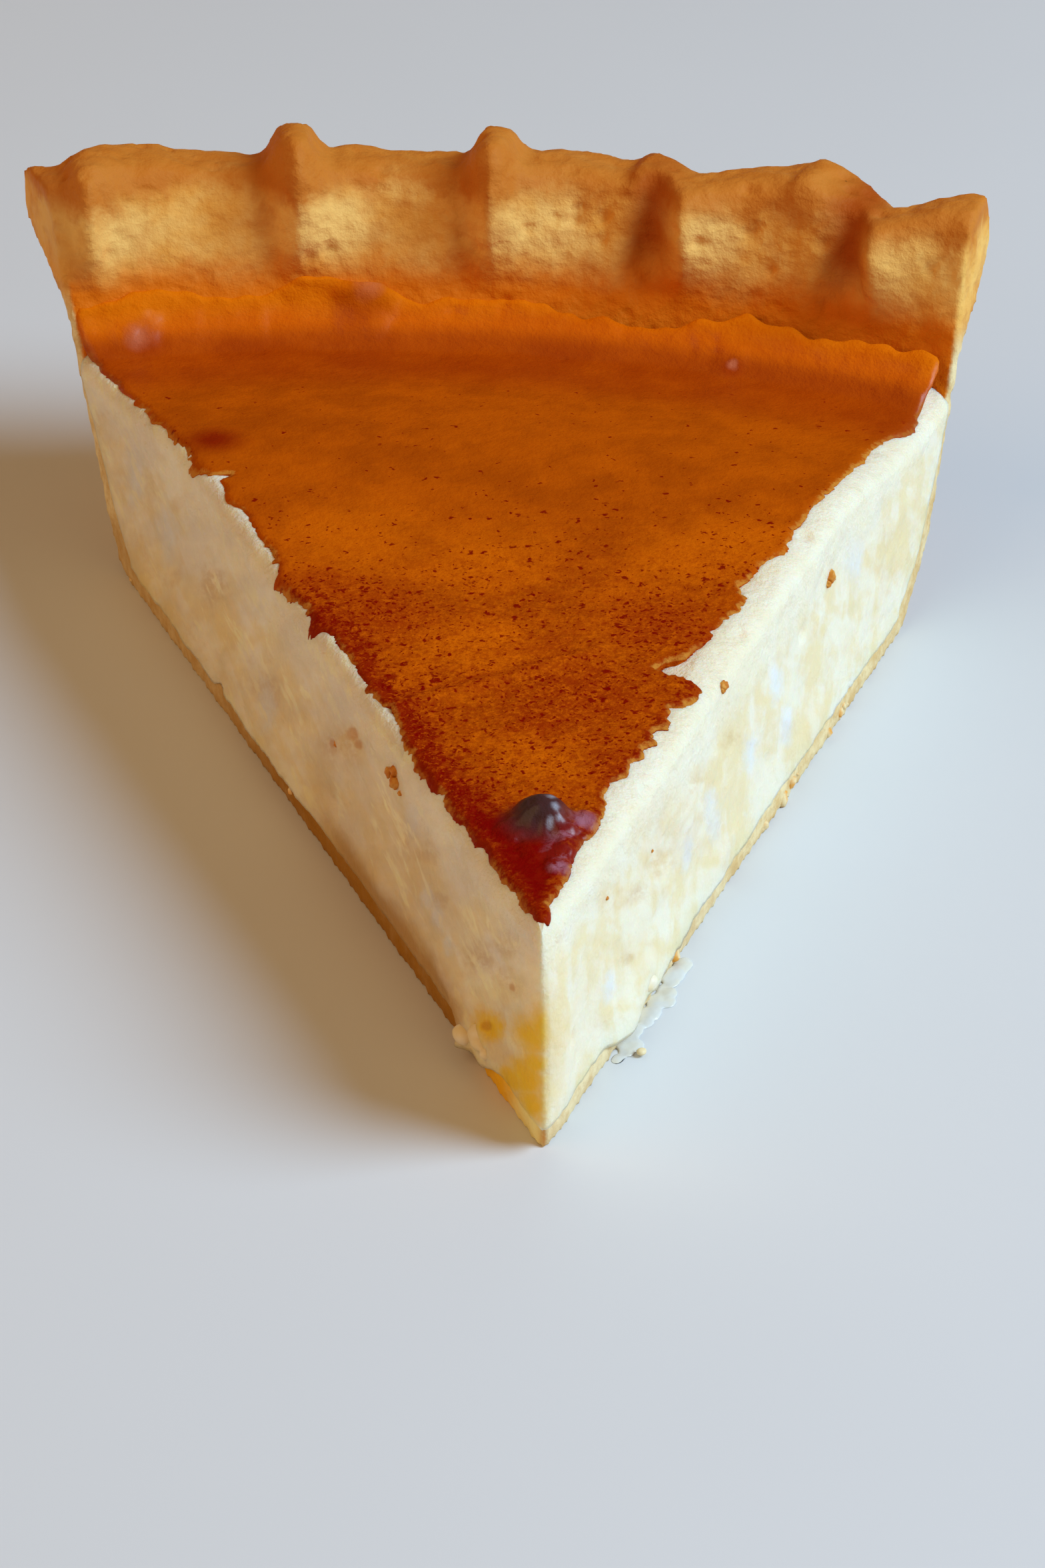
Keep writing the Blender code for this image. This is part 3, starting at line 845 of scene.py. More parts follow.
def rounded(corners, steps=5):  # an outline of (radius, height, rounding) with its corners bent
    points = []
    for i, (radius, height, rounding) in enumerate(corners):
        corner = Vector((radius, height))
        if not rounding:
            points.append(corner)
            continue
        before = (Vector(corners[i - 1][:2]) - corner).normalized() * rounding
        after = (Vector(corners[(i + 1) % len(corners)][:2]) - corner).normalized() * rounding
        for step in range(steps + 1):
            t = step / steps
            points.append(corner + before * (1 - t) ** 2 + after * t * t)
    return points


def wedgeCutter():
    mesh = bmesh.new()
    reach, bend = 0.2, 0.0016
    left, right = cutAlong(-1), cutAlong(1)
    tip = plan["tip"] + Vector((0, shell["cutBack"] / math.sin(plan["halfAngle"])))
    outline = [left * reach] + [
        left * bend * (1 - t) ** 2 + right * bend * t * t for t in (0, 0.25, 0.5, 0.75, 1)
    ] + [right * reach]
    face = mesh.faces.new([mesh.verts.new((*(tip + p), -0.05)) for p in outline])
    raised = bmesh.ops.extrude_face_region(mesh, geom=[face])
    upper = [part for part in raised["geom"] if isinstance(part, bmesh.types.BMVert)]
    bmesh.ops.translate(mesh, vec=(0, 0, 0.15), verts=upper)
    bmesh.ops.recalc_face_normals(mesh, faces=mesh.faces)
    return solidObject("wedge", mesh)


def setValues(obj, name, rule):  # stores a number at each point of an object
    layer = obj.data.attributes.new(name, "FLOAT", "POINT")
    layer.data.foreach_set("value", [rule(v.co, v.normal) for v in obj.data.vertices])


def cutCalm(place, normal):  # the knife left the cut faces and the flat bottom smoother than the rest
    inset = leastInset(place.x, place.y)
    return max(0.55 * (1 - smooth(0.0002, 0.0016, inset)), 0.9 * (1 - smooth(0.0001, 0.0007, place.z)))


def makeShell():
    s = shell
    corners = [
        (0.004, s["floorThickness"], 0),
        (s["baseRadius"] - s["wallThickness"], s["floorThickness"], 0.0045),
        (s["wallTopRadius"] - s["wallThickness"], s["wallTop"] - s["wallThickness"], 0.0030),
        (s["rimInnerRadius"], s["rimTop"], 0.0016),
        (s["rimRadius"], s["rimTop"] - 0.0004, 0.0022),
        (s["rimRadius"], s["rimUnderside"], 0.0016),
        (s["wallTopRadius"], s["wallTop"], 0.0026),
        (s["baseRadius"], 0.0, 0.0024),
        (0.004, 0.0, 0),
    ]
    points = rounded(corners)
    mesh = bpy.data.meshes.new("pastryShell")
    ring = [(i, (i + 1) % len(points)) for i in range(len(points))]
    mesh.from_pydata([(p.x, p.y, 0) for p in points], ring, [])
    obj = newObject("pastryShell", mesh)
    grow(obj, flutes, {
        "Sweep Start": -30.0, "Sweep End": 110.0, "Steps": 760, "Outline Step": 0.0008,
        "Pinch Depth": s["pinchDepth"], "Flute Foot": 0.0205, "Rim Top": s["rimTop"],
        "Rim Foot": s["rimUnderside"], "Slump": s["slump"], "Material": pastry,
    })
    settle(obj)
    solid = bmesh.new()
    solid.from_mesh(obj.data)
    bmesh.ops.recalc_face_normals(solid, faces=solid.faces)
    solid.to_mesh(obj.data)
    solid.free()
    cutter = wedgeCutter()
    cut = obj.modifiers.new("cut", "BOOLEAN")
    cut.operation, cut.solver, cut.object = "INTERSECT", "EXACT", cutter
    melt(obj, s["voxel"], 3)
    settle(obj)
    bpy.data.objects.remove(cutter)
    for vert in obj.data.vertices:
        vert.co.x -= max(vert.co.x - s["wornFrom"], 0.0) * s["wear"]
    setValues(obj, "calm", cutCalm)
    return roughen(obj, s["relief"], pastry)


pastryShell = makeShell()
print("pastry shell", triangleCount(pastryShell))

filling = {
    "bottom": 0.0022,
    "faceStep": 0.00026,
    "nearStep": 0.00024,
    "farStep": 0.00048,
    "length": 0.0975,
    "tipRounding": 0.0006,
    "tipBluntness": 0.0019,  # more rounding below the skin
    "shoulder": {-1: (0.0013, 0.0016), 1: (0.0026, 0.0015)},  # each side's width and drop
    "topSteps": 16,
    "hiddenDrop": 0.0005,  # keeps the top clear below the skin
    "wallHeights": (0.0022, 0.0028, 0.0036, 0.0048, 0.0065, 0.009, 0.012, 0.015, 0.0185),
    "overlap": 0.0003,
    "relief": {
        "Lump Size": 0.0036, "Lump Height": 0.00020, "Grain Size": 0.0009, "Grain Height": 0.00006,
        "Pit Size": 0.0026, "Pit Depth": 0.00030, "Pit Share": 0.08, "Curd Size": 0.0013,
        "Curd Height": 0.00015, "Lowest": 0.0003, "Stretch": (1.0, 0.45, 1.0),
    },
    "lips": {  # how far the wet filling droops over the pastry, as mm along the cut and mm down
        -1: ((0, 0.0), (5, 0.05), (8.5, 0.2), (11, 0.8), (14.5, 0.8), (17, 0.0), (45, 0.0),
             (55, 0.2), (95, 0.1)),
        1: ((0, 0.0), (4, 0.10), (11, 0.2), (13.5, 0.8), (16, 1.1), (19, 0.6), (21, 1.1), (26, 0.6),
            (30, 0.2), (45, 0.1), (95, 0.0)),
    },
    "bulges": (  # side, mm along the cut, height, reach along, reach up and down, how far out
        (-1, 9.2, 3.0, 1.5, 1.3, 0.40), (-1, 13.6, 2.2, 0.9, 0.9, 0.90),
        (-1, 11.2, 3.6, 0.9, 1.3, 0.40), (-1, 11.8, 5.6, 0.8, 0.8, -0.45),
        (-1, 16.0, 3.4, 1.5, 1.0, 0.45), (-1, 18.6, 4.0, 1.4, 0.9, 0.30),
        (-1, 36.0, 15.0, 0.6, 0.6, -0.35), (-1, 34.9, 14.5, 0.5, 0.5, -0.25),
        (1, 2.8, 9.0, 1.9, 5.5, 0.30), (1, 15.4, 2.6, 1.8, 1.3, 0.40),
        (-1, 19.5, 8.4, 3.0, 0.7, 0.18), (-1, 31, 4.5, 3.0, 1.2, 0.22),
        (-1, 44, 9.0, 3.5, 1.4, 0.16), (-1, 58, 5.0, 4.0, 1.6, 0.20),
        (-1, 26, 12.5, 1.6, 1.2, -0.20), (-1, 36, 11.0, 2.2, 1.0, -0.18),
        (1, 19.0, 3.2, 5.5, 1.8, 0.50), (1, 28.2, 12.2, 1.6, 2.6, 0.25),
        (1, 21.9, 9.5, 1.3, 1.3, 0.30), (1, 18.2, 10.6, 1.1, 1.0, -0.25),
        (1, 24.0, 11.6, 1.0, 1.3, -0.22), (1, 36, 4.0, 4.0, 1.6, 0.25), (1, 47, 10, 2.6, 3.0, 0.14),
        (1, 57, 4.0, 4.0, 1.4, 0.20),
    ),
}
shellSurface = surfaceOf(pastryShell)


def wallReach(bearing, height):  # from the tip out to the pastry wall, at an angle about the tip
    bearing = max(min(bearing, plan["halfAngle"] * 0.985), -plan["halfAngle"] * 0.985)
    direction = Vector((math.sin(bearing), math.cos(bearing), 0))
    start = Vector((*plan["tip"], max(height, 0.0031))) + direction * 0.055
    hit, _, _, distance = shellSurface.ray_cast(start, direction)
    return 0.055 + distance if hit else 0.095


def shoulderDrop(inset, side, room):  # how far the top has fallen at a distance inside the cut
    width, drop = filling["shoulder"][side]
    width = min(width, room * 0.8)
    t = 1 - max(min(inset / width, 1.0), 0.0)
    return drop * (1 - math.sqrt(max(1 - t * t, 0.0)))


def surfaceHeight(x, y):  # the filling's top with its rounded shoulders
    room = (Vector((x, y)) - plan["tip"]).length * plan["halfAngle"]
    drops = [shoulderDrop(cutInset(x, y, side), side, max(room, 0.0004)) for side in (-1, 1)]
    return topHeight(x, y) - max(drops)


def wedgePlace(reach, offset):  # a place on the arc at a reach from the tip, offset in metres along it
    bearing = offset / reach
    x, y = reach * math.sin(bearing), reach * math.cos(bearing)
    return Vector((plan["tip"].x + x, plan["tip"].y + math.hypot(y, filling["tipRounding"])))


def bulged(place):  # how far a place on a cut face stands out, with the face's direction
    for side in (-1, 1):
        if cutInset(place.x, place.y, side) > 0.0006:
            continue
        run = cutRun(place.x, place.y, side)
        out = 0.0
        for bulgeSide, centre, height, width, tall, amount in filling["bulges"]:
            if bulgeSide == side:
                away = ((run - centre) / width) ** 2 + ((place.z * 1000 - height) / tall) ** 2
                out += amount * math.exp(-away)
        return cutOutward(side) * out / 1000
    return Vector((0, 0, 0))


def droop(run, side):  # how far the lower edge of a cut hangs down, in metres
    ragged = drift(run * 0.30, side * 4.3, 1.7) * 0.30 + drift(run * 1.1, side * 2.3, 6.1) * 0.16
    return max(along(filling["lips"][side], run) + ragged, 0.0) / 1000


def lipped(place, low):  # the place of a cut's lower edge once it has drooped, low is 1 there
    side = 1 if cutInset(*place.xy, 1) < cutInset(*place.xy, -1) else -1
    run = cutRun(*place.xy, side)
    hang = droop(run, side) * low * low
    out = min(hang, 0.0009) * (0.22 - 0.08 * side) * smooth(0.0, 4.0, run)
    return cutOutward(side) * out - Vector((0, 0, hang))


def blunted(place):  # how far back a place near the tip gives way, so that the tip's edge is round
    blunt = filling["tipBluntness"] * smooth(0.0170, 0.0130, place.z) * smooth(0.0010, 0.0040, place.z)
    back, least = place.y - plan["tip"].y, filling["tipRounding"]
    spared = (math.hypot(least, blunt) - least) * (1 - smooth(0.002, 0.009, back))
    return math.hypot(back, blunt) - back - spared


def crossSection(half):  # round one arc of the wedge: offset, and height as a share of what is there
    steps = round((0.0165 - filling["bottom"]) / filling["faceStep"])
    inner = max(half - 0.0004, half * 0.8)
    base = [(inner * (-1 + i / 3), "base", 0) for i in range(7)]
    section = [(-half, "face", 0)] + base + [(half, "face", 0)]
    for side in (1, -1):
        width = min(filling["shoulder"][side][0], half * 0.8)
        face = [(side * half, "face", i / steps) for i in range(1, steps + 1)]
        turns = [i / 12 * math.pi / 2 for i in range(1, 13)]
        bend = [(side * (half - width * (1 - math.cos(turn))), "bend", math.sin(turn)) for turn in turns]
        section += face + bend if side == 1 else list(reversed(face + bend))
        if side == 1:
            flat = half - width
            topSteps = filling["topSteps"]
            section += [(flat * (1 - 2 * i / topSteps), "top", 0) for i in range(1, topSteps)]
    return section


def sectionHeight(place, offset, kind, share, half):
    if kind == "base":
        return filling["bottom"]
    top = topHeight(*place)
    if kind == "top":
        return top - filling["hiddenDrop"] * smooth(0.0, 0.004, half - abs(offset))
    drop = filling["shoulder"][1 if offset > 0 else -1][1]
    if kind == "face":
        return filling["bottom"] + (top - drop - filling["bottom"]) * share
    return top - drop * (1 - share)


def curdiness(place, normal):  # where the cut shows separate curds
    x, y = (Vector((place.x, place.y)) - plan["tip"]) * 1000
    z = place.z * 1000
    if z > 17.2 or normal.z > 0.5:
        return 0.0
    share = 0.30 * smooth(0.05, 0.35, noise.noise(place * 190))
    if x > 0:
        share += math.exp(-(((y - 24) / 6) ** 2) - ((z - 11) / 3.4) ** 2)
    else:
        share += math.exp(-(((y - 12) / 5) ** 2) - ((z - 3.5) / 2.2) ** 2)
        share += 0.5 * smooth(13.5, 15.5, z)
    return min(share, 1.0)


def makeFilling():
    f = filling
    reaches, reach = [], 0.00025
    while reach < f["length"]:
        reaches.append(reach)
        reach += f["nearStep"] + (f["farStep"] - f["nearStep"]) * smooth(0.03, 0.09, reach)
    last = reaches[-1]
    levels = f["wallHeights"]
    bearings = [plan["halfAngle"] * column / 12 for column in range(-12, 13)]
    walls = [[wallReach(bearing, level) for level in levels] for bearing in bearings]

    def wall(share, height):  # the pastry's inside, as a reach from the tip
        column = max(min(share * 12 + 12, 23.999), 0.0)
        row = max(i for i, level in enumerate(levels[:-1]) if level <= max(height, levels[0]))
        c, a = int(column), column - int(column)
        b = min(max((height - levels[row]) / (levels[row + 1] - levels[row]), 0.0), 1.0)
        low = walls[c][row] * (1 - a) + walls[c + 1][row] * a
        high = walls[c][row + 1] * (1 - a) + walls[c + 1][row + 1] * a
        return low * (1 - b) + high * b + f["overlap"]

    verts, rings = [], []
    for reach in reaches:
        half = reach * plan["halfAngle"]
        ring = []
        for offset, kind, share in crossSection(half):
            height = sectionHeight(wedgePlace(reach, offset), offset, kind, share, half)
            stretch = 1 + (wall(offset / half, height) / last - 1) * smooth(0.35 * last, last, reach)
            place = wedgePlace(reach * stretch, offset * stretch)
            place = Vector((*place, sectionHeight(place, offset, kind, share, half)))
            ring.append(len(verts))
            if kind == "face":
                place.y += blunted(place)
                place += bulged(place) + lipped(place, 1 - smooth(0.0, 0.16, share))
            verts.append(place)
        rings.append(ring)
    faces = []
    for a, b in zip(rings, rings[1:]):
        for i in range(len(a)):
            j = (i + 1) % len(a)
            faces.append((a[i], a[j], b[j], b[i]))
    mesh = bpy.data.meshes.new("cheeseFilling")
    mesh.from_pydata(verts, [], faces)
    solid = bmesh.new()
    solid.from_mesh(mesh)
    for ring in (rings[0], rings[-1]):
        solid.verts.ensure_lookup_table()
        edges = [e for e in solid.edges if e.is_boundary and e.verts[0].index in set(ring)]
        bmesh.ops.holes_fill(solid, edges=edges)
    bmesh.ops.remove_doubles(solid, verts=solid.verts, dist=1e-6)
    bmesh.ops.triangulate(solid, faces=[face for face in solid.faces if len(face.verts) > 4])
    bmesh.ops.recalc_face_normals(solid, faces=solid.faces)
    solid.to_mesh(mesh)
    solid.free()
    obj = newObject("cheeseFilling", mesh)
    setValues(obj, "share", curdiness)
    return roughen(obj, f["relief"], cheese)


cheeseFilling = makeFilling()
print("filling", triangleCount(cheeseFilling))

crustTop = {
    "thickness": 0.00026,
    "relief": {
        "Lump Size": 0.0055, "Lump Height": 0.00016, "Grain Size": 0.0007, "Grain Height": 0.00007,
        "Pit Size": 0.0010, "Pit Depth": 0.00011, "Pit Share": 0.30,
    },
    "spacings": (  # by mm from the tip
        (0, 0.00017), (20, 0.00018), (40, 0.00030), (75, 0.00052), (92, 0.00042), (120, 0.00042),
    ),
    "undersideDrop": 0.0009,
    "bubbles": (  # burnt blisters: place from the tip, radius and height, in mm
        (0.1, 14.2, 2.6, 1.95), (-1.4, 13.2, 1.7, 0.50), (1.6, 12.8, 1.7, 0.80),
        (3.1, 14.2, 1.5, 0.45), (1.5, 10.6, 1.6, 0.50), (1.3, 8.2, 1.3, 0.30),
        (-0.4, 10.6, 1.5, 0.25), (-14.2, 98.5, 3.6, 0.55), (-34.3, 96.3, 3.0, 0.40),
        (16.9, 89.6, 1.9, 0.35),
    ),
    "wrinkle": ((-10.6, 29.6), (-2.9, 33.0), (4.5, 36.8)),  # a faint fold across the skin, from the tip
    "edges": {  # each side's edge, as mm along the cut and mm inside it
        -1: ((2.0, 0.45), (5.1, 0.45), (9.4, 0.6), (12.0, 0.8), (12.9, 0.45), (14.8, 0.35), (15.8, 0.6),
             (19.5, 0.5), (24.1, 0.5), (30, 0.9), (32.7, 0.8), (37.9, 1.1), (42.5, 1.2), (45.5, 0.5),
             (50.5, 0.3), (59.1, 1.4), (65.1, 1.0), (68.9, 1.4), (69.6, 2.4), (70.3, 0.5), (79.5, 0.6),
             (89.2, 0.9), (98.4, 0.9), (112, 0.3)),
        1: ((1.8, 0.4), (4.5, 0.9), (7.5, 1.1), (10.4, 1.6), (13.6, 1.4), (16.7, 1.6), (17.9, 2.5),
             (19.4, 2.7), (21.0, 1.7), (25.6, 1.5), (26.2, 2.2), (27.0, 2.2), (27.7, 1.4), (30.2, 1.2),
             (32.0, 0.8), (33.4, 0.9), (33.9, 1.6), (34.3, 3.9), (34.9, 4.9), (35.7, 4.6), (37.0, 3.3),
             (38.9, 2.9), (43.1, 2.6), (46.5, 2.0), (47.3, 2.3), (48.2, 3.2), (50.0, 2.8),
             (54.1, 2.2), (66.6, 1.9), (78.3, 1.9), (86.6, 1.0), (91.9, 1.2), (112, 0.5)),
    },
    "filmFoot": 0.0990,  # radius about the pan's centre where the skin starts to climb the pastry
    "filmBend": 0.0020,
    "filmSlope": 0.87,
    "filmHeights": (  # degrees about the pan's centre, mm
        (-20, 20.6), (-11.1, 20.6), (-8.2, 21.6), (-4.7, 20.6), (-2.6, 20.8), (-0.6, 22.2), (1.2, 21.7),
        (2.8, 21.5), (4.3, 20.2), (9.7, 20.4), (12.5, 19.7), (15.8, 19.3), (20.8, 20.7),
        (24.1, 20.2), (29.3, 20.5), (40, 20.5),
    ),
}


castRadius = 0.085  # rays towards the pastry start here


def wallHit(bearing, height):  # where the pastry stands in a direction from the pan's centre, and how far
    direction = Vector((*panDirection(bearing), 0))
    start = Vector((*plan["panCentre"], height)) + direction * castRadius
    hit, _, _, distance = shellSurface.ray_cast(start, direction)
    return hit, castRadius + (distance or 0.0)


class WallTable:  # the radius of the pastry's inside about the pan's centre, read by bearing and height
    firstBearing, bearingStep, lowest, heightStep = -16.0, 0.4, 0.0165, 0.0007

    def __init__(self):
        self.rows = []
        for level in range(12):
            height = self.lowest + level * self.heightStep
            row = [self.measured(self.firstBearing + i * self.bearingStep, height) for i in range(131)]
            known = [i for i, radius in enumerate(row) if radius]
            self.rows.append([row[min(known, key=lambda k: abs(k - i))] for i in range(len(row))])

    def measured(self, bearing, height):
        hit, radius = wallHit(bearing, height)
        if not hit or radius > 0.111 or leastInset(hit.x, hit.y) < 0.0009:
            return None
        return radius

    def radius(self, bearing, height):
        column = max(min((bearing - self.firstBearing) / self.bearingStep, 129.99), 0.0)
        level = max(min((height - self.lowest) / self.heightStep, 10.99), 0.0)
        c, r = int(column), int(level)
        a, b = column - c, level - r
        low = self.rows[r][c] * (1 - a) + self.rows[r][c + 1] * a
        high = self.rows[r + 1][c] * (1 - a) + self.rows[r + 1][c + 1] * a
        return low * (1 - b) + high * b


wallTable = WallTable()


def filmClimb(run):  # how high the skin has climbed at a distance up from its foot
    bend, slope = crustTop["filmBend"], crustTop["filmSlope"]
    if run < bend * slope:
        return run * run / (2 * bend)
    return bend * slope * slope / 2 + slope * (run - bend * slope)


def filmRun(climb):  # the distance at which it has climbed so high
    bend, slope = crustTop["filmBend"], crustTop["filmSlope"]
    return bend * slope + (climb - bend * slope * slope / 2) / slope


def raggedness(run, side):  # crumbs stick out round, the breaks between them cut in
    rough = max(0.8 + drift(run * 0.19, side * 5.1, 3) * 1.5, 0.25)
    run += drift(run * 0.75, side * 1.3, 7) * 0.9
    wander = drift(run * 0.28, side * 7.1, 0) * 0.55
    crumbs = drift(run * 0.62, side * 3.3, 5) * 0.62
    nibbles = drift(run * 1.35, side * 9.7, 2) * 0.36
    grains = drift(run * 3.1, side * 2.7, 8) * 0.18
    return wander + ((crumbs + nibbles) * rough + grains) * (1 - 0.6 * smooth(45, 80, run))


def skinEdge(side):
    table = crustTop["edges"][side]
    run, line = table[0][0], []
    while run < table[-1][0]:
        inset = along(table, run) + raggedness(run, side) * (0.45 + 0.55 * smooth(16.0, 26.0, run))
        inset = max(min(inset, run * math.tan(plan["halfAngle"]) * 0.82), -0.12)
        line.append(plan["tip"] + cutAlong(side) * run / 1000 + cutInward(side) * inset / 1000)
        run += 0.075 + 0.26 * smooth(40, 90, run)
    return line


def panBearing(away):  # degrees clockwise from +Y
    return math.degrees(math.atan2(away.x, away.y))


def filmEdgeRadius(bearing):  # where the skin ends against the pastry, with its climb laid out flat
    height = along(crustTop["filmHeights"], bearing) / 1000
    height += drift(bearing * 0.9, 0, 3) * 0.0005
    return crustTop["filmFoot"] + filmRun(height - topLine["troughHeight"])


def skinOutline():
    sides = {}
    for side in (-1, 1):
        sides[side] = []
        for point in skinEdge(side):
            away = point - plan["panCentre"]
            if away.length > filmEdgeRadius(panBearing(away)) - 0.0001:
                break
            sides[side].append(point)
    start, end = (panBearing(sides[side][-1] - plan["panCentre"]) for side in (-1, 1))
    back = []
    for i in range(1, 260):
        bearing = start + (end - start) * i / 260
        back.append(plan["panCentre"] + panDirection(bearing) * filmEdgeRadius(bearing))
    return list(reversed(sides[-1])) + sides[1] + list(reversed(back))


def waver(x, y, wide, fine):
    return drift(x * 0.55, y * 0.55, wide) * 0.55 + drift(x * 1.3, y * 1.3, fine) * 0.2


def blisterRise(point):  # how far the skin has blistered up, and the faint fold across it
    x, y = (point - plan["tip"]) * 1000
    warpX, warpY = waver(x, y, 4.0, 1.3), waver(x, y, 9.0, 7.8)
    total = 0.0
    for centreX, centreY, radius, height in crustTop["bubbles"]:
        near = 1 - ((x + warpX - centreX) ** 2 + (y + warpY - centreY) ** 2) / radius ** 2
        if near > 0:
            total += (height * near ** 1.25) ** 3
    rise = total ** (1 / 3)
    for (startX, startY), (endX, endY) in zip(crustTop["wrinkle"], crustTop["wrinkle"][1:]):
        across = Vector((endX - startX, endY - startY))
        share = max(min(Vector((x - startX, y - startY)).dot(across) / across.length_squared, 1.0), 0.0)
        gap = (Vector((x - startX, y - startY)) - across * share).length
        rise = max(rise, 0.22 * math.exp(-(gap / 0.7) ** 2))
    return rise / 1000


def wallRadius(bearing, height):  # the exact place of the pastry, or the table's beyond the cuts
    hit, radius = wallHit(bearing, height)
    known = wallTable.radius(bearing, height)
    return radius if hit and abs(radius - known) < 0.0012 else known


def skinPlace(point, lift):  # takes a place of the flat outline up to the filling or the pastry wall
    away = point - plan["panCentre"]
    run = away.length - crustTop["filmFoot"]
    if run <= 0:
        height = surfaceHeight(*point)
        for side in (-1, 1):
            height -= max(-cutInset(*point, side), 0.0) * 0.8
        return Vector((*point, height + lift + blisterRise(point) * (lift > 0)))
    bearing = panBearing(away)
    base = surfaceHeight(*(plan["panCentre"] + away.normalized() * crustTop["filmFoot"]))
    sag = (topLine["troughHeight"] - base) * (1 - smooth(0, 0.004, run))
    height = topLine["troughHeight"] + filmClimb(run) - sag
    start = wallTable.radius(bearing, topLine["troughHeight"]) - crustTop["filmFoot"]
    stand = start * max(0.0, 1 - run / (1.5 * start)) ** 1.5
    tilt = smooth(0.0, 0.003, run)
    exact = wallRadius(bearing, height) * tilt + wallTable.radius(bearing, height) * (1 - tilt)
    lift += blisterRise(point) * (lift > 0)
    place = plan["panCentre"] + away.normalized() * (exact - stand - lift * 0.85 * tilt)
    for side in (-1, 1):
        short = 0.0001 - cutInset(*place, side)
        if short > 0:
            place += cutInward(side) * short
    return Vector((*place, height + lift * (1 - 0.6 * tilt)))


def insidePoints(outline, spacingAt):
    xs, ys = [p.x for p in outline], [p.y for p in outline]
    random.seed(11)
    points, y, row = [], min(ys), 0
    while y < max(ys):
        spacing = spacingAt(y)
        x = min(xs) + (spacing / 2 if row % 2 else 0)
        while x < max(xs):
            jitter = Vector((random.uniform(-0.25, 0.25), random.uniform(-0.25, 0.25))) * spacing
            points.append(Vector((x, y)) + jitter)
            x += spacing
        y += spacing * 0.866
        row += 1
    return points


class Outline:  # a closed line that can say what lies inside it and how far away it is
    def __init__(self, points):
        self.points = points
        self.bands = {}
        for a, b in zip(points, points[1:] + points[:1]):
            for band in range(self.band(min(a.y, b.y)), self.band(max(a.y, b.y)) + 1):
                self.bands.setdefault(band, []).append((a, b))
        self.nearest = KDTree(len(points))
        for i, point in enumerate(points):
            self.nearest.insert((*point, 0), i)
        self.nearest.balance()

    def band(self, y):
        return math.floor(y * 2000)

    def holds(self, point):
        inside = False
        for a, b in self.bands.get(self.band(point.y), ()):
            if (a.y > point.y) != (b.y > point.y):
                inside ^= point.x < a.x + (point.y - a.y) * (b.x - a.x) / (b.y - a.y)
        return inside

    def gap(self, point):
        return self.nearest.find((*point, 0))[2]

    def filled(self, spacingAt):  # triangles that fill it: places and faces
        points = [
            p for p in insidePoints(self.points, spacingAt)
            if self.holds(p) and self.gap(p) > 0.55 * spacingAt(p.y)
        ]
        loop = list(range(len(self.points)))
        places, _, faces, _, _, _ = delaunay_2d_cdt(self.points + points, [], [loop], 1, 1e-9)
        return places, faces


def spacingOnTop(y):
    return along(crustTop["spacings"], (y - plan["tip"].y) * 1000)


def filmCalm(place, normal):  # the skin lies flat on the pastry
    film = smooth(0.0185, 0.0200, place.z) * (place.y > plan["tip"].y + 0.08)
    return max(film, 0.8 * (1 - smooth(0.5, 0.9, normal.z)))


def makeSkin():
    outline = Outline(skinOutline())
    solid = bmesh.new()
    edgeLayer = solid.verts.layers.float.new("edgeNearness")
    places, faces = outline.filled(spacingOnTop)
    top = []
    for place in places:
        gap = outline.gap(place)
        away = (place - plan["panCentre"]).length
        thinned = 1 - 0.35 * smooth(0.1005, 0.1025, away)
        lift = crustTop["thickness"] * thinned * smooth(-0.0001, 0.0003, gap)
        vert = solid.verts.new(skinPlace(place, lift))
        vert[edgeLayer] = math.exp(-gap / 0.0012)
        top.append(vert)
    for face in faces:
        solid.faces.new([top[i] for i in face])
    places, faces = outline.filled(lambda y: 0.0030)
    bottom = []
    for place in places:
        inset = leastInset(*place)
        drop = crustTop["undersideDrop"] * smooth(0, 0.0012, outline.gap(place)) + 0.00008
        drop += 0.0005 * smooth(0.0020, 0.0040, inset) * ((place - plan["panCentre"]).length < 0.096)
        bottom.append(solid.verts.new(skinPlace(place, -drop)))
    for face in faces:
        solid.faces.new([bottom[i] for i in reversed(face)])
    count = len(outline.points)
    for i in range(count):
        j = (i + 1) % count
        solid.faces.new((bottom[i], bottom[j], top[j], top[i]))
    bmesh.ops.recalc_face_normals(solid, faces=solid.faces)
    obj = solidObject("brownedSkin", solid)
    setValues(obj, "calm", filmCalm)
    return roughen(obj, crustTop["relief"], skin)


brownedSkin = makeSkin()
print("browned skin", triangleCount(brownedSkin))


def strewn(name, source, share, values):
    obj = newObject(name, source.data.copy())
    setValues(obj, "share", share)
    grow(obj, scatter, values)
    return settle(obj)


crumbPlaces = (49, 53, 66.6, 84.3)  # mm along the right cut


def crumbShare(place, normal):
    run = cutRun(place.x, place.y, 1)
    if place.z > 0.0013 or place.z < 0.0003 or normal.z < -0.5:
        return 0.0
    if cutInset(place.x, place.y, 1) < 0.0006:
        return 0.05 + sum(math.exp(-(((run - centre) / 2.6) ** 2)) for centre in crumbPlaces)
    return 0.05 if cutInset(place.x, place.y, -1) < 0.0006 else 0.0


crumbs = strewn("crumbs", pastryShell, crumbShare, {
    "Density": 700000.0, "Smallest": 0.00018, "Largest": 0.00055, "Squash": (1.0, 1.2, 0.8),
    "Sink": 0.0001, "Roughen": 0.0006, "Seed": 9, "Material": crumbly,
})
print("crumbs", triangleCount(crumbs))

